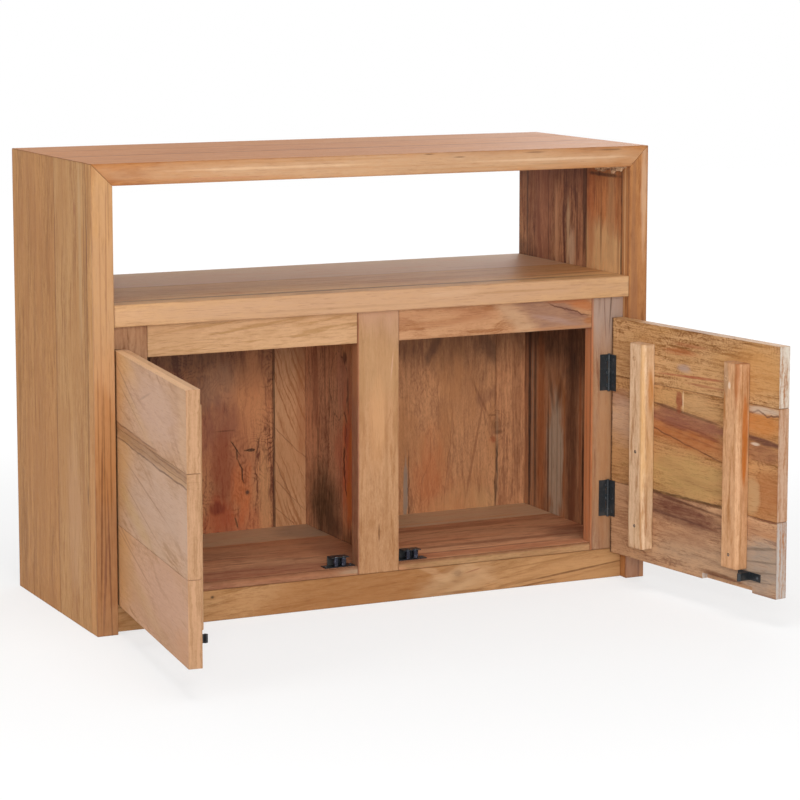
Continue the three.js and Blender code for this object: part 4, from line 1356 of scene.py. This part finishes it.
RIGHT_DOOR_BOARDS = {
    "right_door_board_1": board(
        RIGHT_DOOR, "c29771 84573c a57e61", 34.6, lines=1.3, curl=0.5, curl_size=(8.0, 16.0), end="bfb7b0",
        marks=(
            Streak(150, 82, 175, 34, "603327", 0.75, lean=-0.05, ragged=0.6),
            Streak(190, 30, 190, 50, "ad8f73", 0.6), Streak(300, 84, 110, 20, "a97956", 0.6),
            Streak(318, 38, 90, 74, "9a897a", 0.85, ragged=0.4), Streak(24, 50, 60, 110, "b18663", 0.5),
            Streak(158, 95, 150, 4, "5b3525", 0.75, lean=-0.07, ragged=0.4),
            Streak(130, 74, 120, 4, "523129", 0.6, lean=-0.05, ragged=0.6),
            Streak(310, 60, 70, 4, "746253", 0.65, lean=0.15),
            Streak(320, 44, 80, 2.4, "746253", 0.65, lean=0.1),
            Streak(320, 30, 80, 2.4, "746253", 0.6, lean=0.12),
            Streak(310, 16, 70, 2.4, "746253", 0.6, lean=0.1),
            # Painted shadow: a dark strip along the hinge edge, where the gap by the case side lies in shade.
            Band(-9, 2.5, "4c3222", 0.85, soft=1.0, ragged=1.5),
            Streak(240, 9, 92, 8, "6c452e", lean=-0.06, soft=0.4, ragged=0.4),
            Streak(120, 50, 190, 26, "9d6d4e", 0.45, ragged=0.8),
            Streak(330, 80, 60, 8, "b27f57", 0.6, ragged=0.8),
    )),
    "right_door_board_2": board(
        RIGHT_DOOR, "bd8c5c 84582e aa7e54", 35.2, pith_across=0.3, burr=5.0, curl_size=(9.0, 15.0),
        end="c7a388", marks=(
            Streak(160, 130, 160, 26, "c29864", 0.5, lean=-0.05),
            Streak(158, 86, 190, 34, "a76439", lean=-0.12, ragged=0.4),
            Streak(158, 105, 190, 24, "8a5745", lean=-0.05, soft=0.35, ragged=0.55),
            Streak(150, 117, 160, 3.5, "5a3727", 0.75, lean=-0.09),
            Crack(158, 75.5, 190, 1.6, -0.187, 2.0, waves=30.0, tone="6b3f2b", strength=0.75),
            Streak(200, 92, 70, 5, "7e4631", 0.6, lean=-0.15),
            Streak(160, 30, 180, 56, "b5945d", 0.6, ragged=0.7),
            Streak(14, 118, 46, 24, "895537", 0.75, ragged=0.6), Streak(30, 90, 90, 60, "caa78c", 0.6),
            Streak(188, 131, 70, 30, "c2996d", 0.5, soft=0.7, ragged=0.8),
            Streak(146, 132, 13, 30, "8b462f", soft=0.3, ragged=0.9),
            Streak(154, 132, 2.6, 28, "dcbe9b", soft=0.3, ragged=0.2),
            Streak(312, 124, 76, 34, "bb783e", ragged=0.3),
            Streak(316, 141, 84, 9, "bea690", 0.9, ragged=0.6),
            Crack(316, 137, 84, 2.0, -0.06, 5.0, waves=60.0, tone="6b4a3b", strength=0.8),
            Streak(314, 86, 80, 26, "8b5a3f", 0.75, ragged=0.4),
            Streak(315, 101, 84, 8, "603a2f", 0.85, lean=-0.09),
            Streak(300, 96, 15, 4, "d0bba6", ragged=0.6),
            Streak(326, 30, 74, 66, "a2673c", 0.75, ragged=0.4),
            Streak(294, 28, 34, 46, "b79268", soft=0.25, ragged=0.3),
            Eye(294, 28, 42, 56, 1.6, tone="8b5a33", strength=0.6),
            Crack(150, 2, 290, 2.4, 0.0, 1.0, tone="4e3221", strength=0.85),
            # Painted shadow: a dark strip along the hinge edge, where the gap by the case side lies in shade.
            Band(-9, 2.5, "4a301f", 0.85, soft=1.0, ragged=1.5),
            Streak(170, 92, 150, 3, "83492e", 0.5, lean=-0.1, ragged=0.6),
            Streak(180, 84, 150, 2.6, "894f32", 0.5, lean=-0.13, ragged=0.6),
            Streak(150, 98, 120, 2.6, "73402e", 0.5, lean=-0.08, ragged=0.6),
            Streak(120, 44, 90, 12, "aa8051", 0.5, lean=-0.15, ragged=0.9),
            Streak(200, 24, 120, 10, "a27a4d", 0.5, lean=-0.1, ragged=0.9),
    )),
    "right_door_board_3": board(
        RIGHT_DOOR, "c3986a 84562d ba8c57", 36.9, pith_across=0.1, speck=1.2, end="ddd2c2", marks=(
            Streak(155, 29, 26, 11, "ab9082", 0.75, ragged=0.6),
            Streak(175, 19, 120, 3.5, "a2583d", 0.75, lean=0.04, ragged=0.6),
            Streak(200, 10, 80, 3.5, "9c5c3f", 0.65, ragged=0.6),
            Streak(150, 50, 70, 8, "ab653d", 0.55, ragged=0.8),
            Streak(168, 60, 60, 6, "9e5c3b", 0.5, ragged=0.8), Streak(300, 40, 120, 60, "c08a51", 0.6),
            # The Band at the end of the next line is painted shadow: a dark strip along the hinge edge, where
            # the gap by the case side lies in shade.
            Streak(30, 30, 70, 40, "a87b4f", 0.5), Band(-9, 2.5, "4b3121", 0.85, soft=1.0, ragged=1.5),
    )),
}

BATTEN_BOARDS = {
    "left_door_hinge_batten": board(STRAIGHT, "cba888 b08660 c49c74", 37.3, bands=0.4),
    "left_door_catch_batten": board(STRAIGHT, "cda27a b48458 c29066", 38.5, bands=0.4),
    "right_door_hinge_batten": board(STRAIGHT, "dab997 ae7f56 d2ad81", 39.1, bands=0.4, marks=(
        Streak(180, 30, 240, 8, "d7a669", 0.6), CrownStreak(216, 6, 60, 9, "bb7b39", ragged=0.3),
    )),
    "right_door_catch_batten": board(STRAIGHT, "cea078 a67244 c28f65", 40.6, bands=0.5, marks=(
        Streak(250, 29, 70, 8, "a36336", lean=0.02, ragged=0.4), Streak(248, 8, 44, 9, "9f8166", 0.6),
        Streak(240, 15, 8, 4, "dccab7"), CrownStreak(171, 7, 112, 9, "b66a2d", 0.9, soft=0.25, ragged=0.3),
    )),
}


# ---- The case ----


@dataclass
class Case:
    """The fixed part of the stand: the mitred case, its shelf, face frame, floor, divider and back."""

    body: str = "case"
    bead: Bead = Bead(length=104.0, reach=9.5)
    bead_set_back: float = 0.010
    lays: Mapping[str, Lay] = field(default_factory=lambda: {
        "left_top_rail": Lay.RAIL,
        "right_top_rail": Lay.RAIL,
        "bottom_rail": Lay.RAIL,
        "bottom_back_rail": Lay.RAIL,
        "centre_bearer": Lay.BEARER,
    })

    def build(self) -> None:
        """Dresses every board of the case."""
        for boards, lay, width in (
            (TOP_BOARDS, Lay.TOP, 0.0006),
            (SIDE_BOARDS, Lay.SIDE, 0.0006),
            (SHELF_BOARDS, Lay.TOP, 0.0006),
            (FLOOR_BOARDS, Lay.TOP, 0.0005),
            (DIVIDER_BOARDS, Lay.SIDE, 0.0005),
            (BACK_BOARDS, Lay.POST, 0.0005),
            (FRAME_BOARDS, Lay.POST, 0.0008),
        ):
            for node, teak in boards.items():
                finish_board(node, teak, self.lays.get(node, lay).axes(), width)
        self._bead()

    def _bead(self) -> None:
        """Adds the bead of filler in the niche's upper right corner."""
        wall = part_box("right_side_board_2")[0].x
        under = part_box("top_board_1")[0].z
        start = Vector((wall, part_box("right_side_edging")[0].y + self.bead_set_back, under))
        place = Matrix.Translation(start) @ Matrix(((1, 0, 0), (0, 0, 1), (0, 1, 0))).to_4x4()
        filler = Filler(tone="d6b08a", shade="8a6346").material("bead_filler")
        mesh = mesh_of("corner_filler", self.bead, [place])
        add_piece("corner_filler", mesh, self.body, filler)


# ---- Doors and fittings ----


@dataclass
class Door:
    """One door's boards and battens, and how the door stands."""

    side: str
    boards: Mapping[str, Teak]
    edge_width: float = 0.0006
    batten_edge_width: float = 0.0008
    sign: int = field(init=False)
    along: Vector = field(init=False)
    out: Vector = field(init=False)

    def __post_init__(self) -> None:
        """Works out how the door stands from its hinge."""
        joint = next(j for j in frame["joints"] if j["name"] == f"{self.side}_door_hinge")
        self.sign = 1 if self.side == "right" else -1
        turn = Matrix.Rotation(self.sign * math.radians(-joint["range_deg"][0]), 3, "Z")
        self.along = turn @ Vector((-self.sign, 0, 0))
        self.out = turn @ FRONT

    @property
    def body(self) -> str:
        """The body that the door is."""
        return f"{self.side}_door"

    def build(self) -> None:
        """Dresses the door's boards and battens."""
        for node, teak in self.boards.items():
            finish_board(node, teak, (self.along, UP, -self.out), self.edge_width)
        for node, teak in BATTEN_BOARDS.items():
            if node.startswith(self.side):
                finish_board(node, teak, (UP, self.along, -self.out), self.batten_edge_width)


PLUG = Turned(((3.6, 0.0), (3.6, 0.12), (3.3, 0.2), (1.2, 0.24)), 40)
RIVET = Turned(((3.4, 0.0), (3.4, 0.3), (3.0, 0.68), (2.2, 0.94), (1.2, 1.08), (0.3, 1.1)), 32)
SCREW_TURNS = (0.3, 1.1, 0.7, 0.1, 0.9, 0.5)
# Each batten's screws and its plugs, as millimetres above its foot and across it.
BATTEN_SPOTS = {
    "hinge_batten": (((31, 17), (133, 17)), ((260, 13),)),
    "catch_batten": (((18, 18),), ((249, 9),)),
}


@dataclass
class Screws:
    """The screws of one fitting, made as one piece."""

    name: str
    body: str
    places: Sequence[Vector]
    normal: Vector
    head: Union[ScrewHead, Turned]

    def build(self) -> None:
        """Makes the screws, each turned its own way."""
        turns = [SCREW_TURNS[i % len(SCREW_TURNS)] for i in range(len(self.places))]
        stands = [facing_matrix(place, self.normal, turn) for place, turn in zip(self.places, turns)]
        mesh = mesh_of(self.name, self.head, stands)
        add_piece(self.name, mesh, self.body, Metal.SCREW.material())


@dataclass
class Fittings:
    """The hinges, catches, strikes and screws of one door."""

    door: Door
    leaf_screws: tuple[float, ...] = (-18.0, 0.0, 18.0)
    leaf_screw_inset: float = 0.0051
    leaf_flat: float = 0.0002
    strike_screw: float = 16.5
    base_screw: float = 17.5
    base_thickness: float = 0.0009
    rivet_sink: float = 0.0001
    steel_edge_width: float = 0.0002
    leaf_edge_width: float = 0.00025
    strike_level: float = 0.95
    screw_sink: float = 0.25
    plug_sink: float = 0.1

    def build(self) -> None:
        """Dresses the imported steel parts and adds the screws."""
        for level in ("upper", "lower"):
            self._hinge(f"{self.door.side}_{level}_hinge")
        self._catch()
        self._strike()
        self._batten_screws()

    def _hinge(self, name: str) -> None:
        """Dresses one hinge and screws its two leaves on."""
        dress(f"{name}_pin", Metal.PIN.material())
        across_frame = Vector((-self.door.sign, 0, 0))
        leaves = (
            ("frame_leaf", "case", -across_frame, FRONT),
            ("door_leaf", self.door.body, self.door.along, -self.door.out),
        )
        for part, body, across, normal in leaves:
            node = f"{name}_{part}"
            ease_edges(node, self.leaf_edge_width)
            dress(node, Metal.LEAF.material())
            points = [v.co for v in frame["nodes"][node].data.vertices]
            far = max(p.dot(across) for p in points)
            flat = [p for p in points if p.dot(across) > far - self.leaf_flat]
            face = max(p.dot(normal) for p in flat)
            middle = (max(p.z for p in flat) + min(p.z for p in flat)) / 2
            places = []
            for step in self.leaf_screws:
                place = across * (far - self.leaf_screw_inset) + normal * (face - self.leaf_flat)
                places.append(Vector((place.x, place.y, middle + step / MM_PER_M)))
            Screws(f"{node}_screws", body, places, normal, ScrewHead(1.9, 0.4)).build()

    def _catch(self) -> None:
        """Dresses the roller catch, and adds its base screws and the rivets over its rollers."""
        side = self.door.side
        bracket = f"{side}_catch_bracket"
        ease_edges(bracket, self.steel_edge_width)
        dress(bracket, Metal.BRACKET.material())
        low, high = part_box(bracket)
        middle = (low.x + high.x) / 2
        rollers = []
        for place in ("inner", "outer"):
            node = f"{side}_catch_{place}_roller"
            dress(node, Metal.ROLLER.material())
            start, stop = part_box(node)
            rollers.append(Vector(((start.x + stop.x) / 2, (start.y + stop.y) / 2, high.z - self.rivet_sink)))
        level = low.z + self.base_thickness
        reach = self.base_screw / MM_PER_M
        ends = [Vector((middle + step * reach, (low.y + high.y) / 2, level)) for step in (-1, 1)]
        Screws(f"{side}_catch_screws", "case", ends, UP, ScrewHead(2.3, 0.8)).build()
        Screws(f"{side}_catch_rivets", "case", rollers, UP, RIVET).build()

    def _strike(self) -> None:
        """Dresses the strike and adds its two screws."""
        node = f"{self.door.side}_door_strike"
        ease_edges(node, self.steel_edge_width)
        dress(node, Metal.BRACKET.material())
        place = Placement.of(node, (self.door.along, UP, -self.door.out))
        along, across = place.size.x * MM_PER_M / 2, place.size.y * MM_PER_M / 2
        reach = self.strike_screw
        places = [place.point(along + step * reach, across, self.strike_level) for step in (-1, 1)]
        Screws(f"{node}_screws", self.door.body, places, -self.door.out, ScrewHead(2.1, 0.7)).build()

    def _batten_screws(self) -> None:
        """Adds the battens' screws and plugs."""
        for batten, (screws, plugs) in BATTEN_SPOTS.items():
            node = f"{self.door.side}_door_{batten}"
            place = Placement.of(node, (UP, self.door.along, -self.door.out))
            thick = place.size.z * MM_PER_M
            sunk = [place.point(along, across, thick - self.screw_sink) for along, across in screws]
            Screws(f"{node}_screws", self.door.body, sunk, -self.door.out, ScrewHead(2.4, 0.4)).build()
            shown = [place.point(along, across, thick - self.plug_sink) for along, across in plugs]
            stands = [facing_matrix(spot, -self.door.out) for spot in shown]
            mesh = mesh_of(f"{node}_plugs", PLUG, stands)
            add_piece(f"{node}_plugs", mesh, self.door.body, plug_wood())


def plug_wood() -> bpy.types.Material:
    """Returns the pale end grain of the plugs, made once."""
    return bpy.data.materials.get("plug_wood") or Filler().material("plug_wood")


# ---- Floor, light and camera ----


@dataclass(frozen=True)
class Lamp:
    """A large soft square lamp that looks at the middle of the stand."""

    name: str
    place: tuple[float, float, float]
    size: float
    power: float

    def build(self) -> None:
        """Hangs the lamp."""
        light = bpy.data.lights.new(self.name, "AREA")
        light.shape = "SQUARE"
        light.size = self.size
        light.energy = self.power
        holder = add_object(self.name, light)
        holder.location = self.place
        aim = STAND_MIDDLE - holder.location
        holder.rotation_euler = aim.to_track_quat("-Z", "Y").to_euler()
        holder.visible_camera = False


@dataclass
class Studio:
    """A pale floor that fades to white, an even room light, soft lamps and the camera."""

    room_light: float = 0.33
    lamps: tuple[Lamp, ...] = (
        Lamp("front_lamp", (-1.4, -3.95, 1.15), 1.6, 96.0),
        Lamp("left_lamp", (-3.3, -1.0, 1.5), 1.8, 32.0),
        Lamp("top_lamp", (-0.3, -0.7, 3.3), 1.8, 36.0),
        Lamp("rear_lamp", (2.6, 2.6, 1.8), 1.8, 31.0),
    )
    floor_half: float = 6.0
    floor_level: float = -0.0004
    floor_grey: float = 0.9
    floor_roughness: float = 0.9
    floor_white: float = 1.04
    floor_fade: tuple[float, float] = (0.45, 1.5)
    floor_least_white: float = 0.6
    camera_place: Vector = field(default_factory=lambda: Vector((-1.5173, -3.3808, 0.8546)))
    camera_heading: float = 25.583
    camera_tilt: float = 7.552
    camera_lens: float = 123.26
    camera_shift: float = -0.1

    def build(self) -> None:
        """Builds the surroundings."""
        self._room()
        self._floor()
        for lamp in self.lamps:
            lamp.build()
        self._camera()

    def _room(self) -> None:
        """Lights the room softly from all round, and shows white to the camera and to reflections."""
        world = bpy.data.worlds.new("room")
        bpy.context.scene.world = world
        world.use_nodes = True
        graph = Graph(world.node_tree)
        rays = graph.node("ShaderNodeLightPath").outputs
        seen = Value(graph, rays["Is Camera Ray"]).most(Value(graph, rays["Is Glossy Ray"]))
        seen = seen.most(Value(graph, rays["Is Transmission Ray"]))
        backdrop = graph.node("ShaderNodeBackground", None, {"Color": WHITE, "Strength": 1.0})
        lit = graph.node("ShaderNodeBackground", None, {"Color": WHITE, "Strength": self.room_light})
        sockets = {"Fac": seen, "Shader": lit.outputs[0], "Shader_001": backdrop.outputs[0]}
        mixed = graph.node("ShaderNodeMixShader", None, sockets)
        graph.node("ShaderNodeOutputWorld", None, {"Surface": mixed.outputs[0]})

    def _floor(self) -> None:
        """Lays the pale floor just under the stand. Away from it, the camera sees the floor as white."""
        shader = Shader("pale_floor")
        far = shader.node("ShaderNodeVectorMath", {"operation": "LENGTH"}, {"Vector": shader.point()})
        away = Value(shader, far.outputs["Value"]).ease(*self.floor_fade)
        seen = Value(shader, shader.node("ShaderNodeLightPath").outputs["Is Camera Ray"])
        white = shader.node("ShaderNodeEmission", None, {"Color": WHITE, "Strength": self.floor_white})
        shader.finish(Base_Color=(self.floor_grey,) * 3, Roughness=self.floor_roughness)
        sockets = {
            "Fac": (self.floor_least_white + away * (1 - self.floor_least_white)) * seen,
            "Shader": shader.surface.outputs[0],
            "Shader_001": white.outputs[0],
        }
        mixed = shader.node("ShaderNodeMixShader", None, sockets)
        shader.feed(shader.output.inputs["Surface"], mixed.outputs[0])
        half = self.floor_half
        signs = ((-1, -1), (1, -1), (1, 1), (-1, 1))
        corners = [Vector((x * half, y * half, self.floor_level)) for x, y in signs]
        mesh = bpy.data.meshes.new("floor")
        mesh.from_pydata(corners, [], [(0, 1, 2, 3)])
        mesh.materials.append(shader.material)
        floor = add_object("floor", mesh)

    def _camera(self) -> None:
        """Stands the camera to the left of the stand, looking a little down."""
        lens = bpy.data.cameras.new("camera")
        lens.lens = self.camera_lens
        lens.sensor_width = 36.0
        lens.shift_y = self.camera_shift
        camera = add_object("camera", lens)
        camera.location = self.camera_place
        heading, tilt = math.radians(self.camera_heading), math.radians(self.camera_tilt)
        camera.rotation_euler = (math.pi / 2 - tilt, 0, -heading)
        bpy.context.scene.camera = camera


def main() -> None:
    """Builds the stand's looks and its surroundings."""
    logging.basicConfig(level=logging.INFO, format="%(name)s: %(message)s")
    bpy.context.scene.view_settings.view_transform = "Standard"
    Studio().build()
    Case().build()
    doors = (Door("left", LEFT_DOOR_BOARDS), Door("right", RIGHT_DOOR_BOARDS))
    for door in doors:
        door.build()
        Fittings(door).build()


if __name__ == "__main__":
    main()
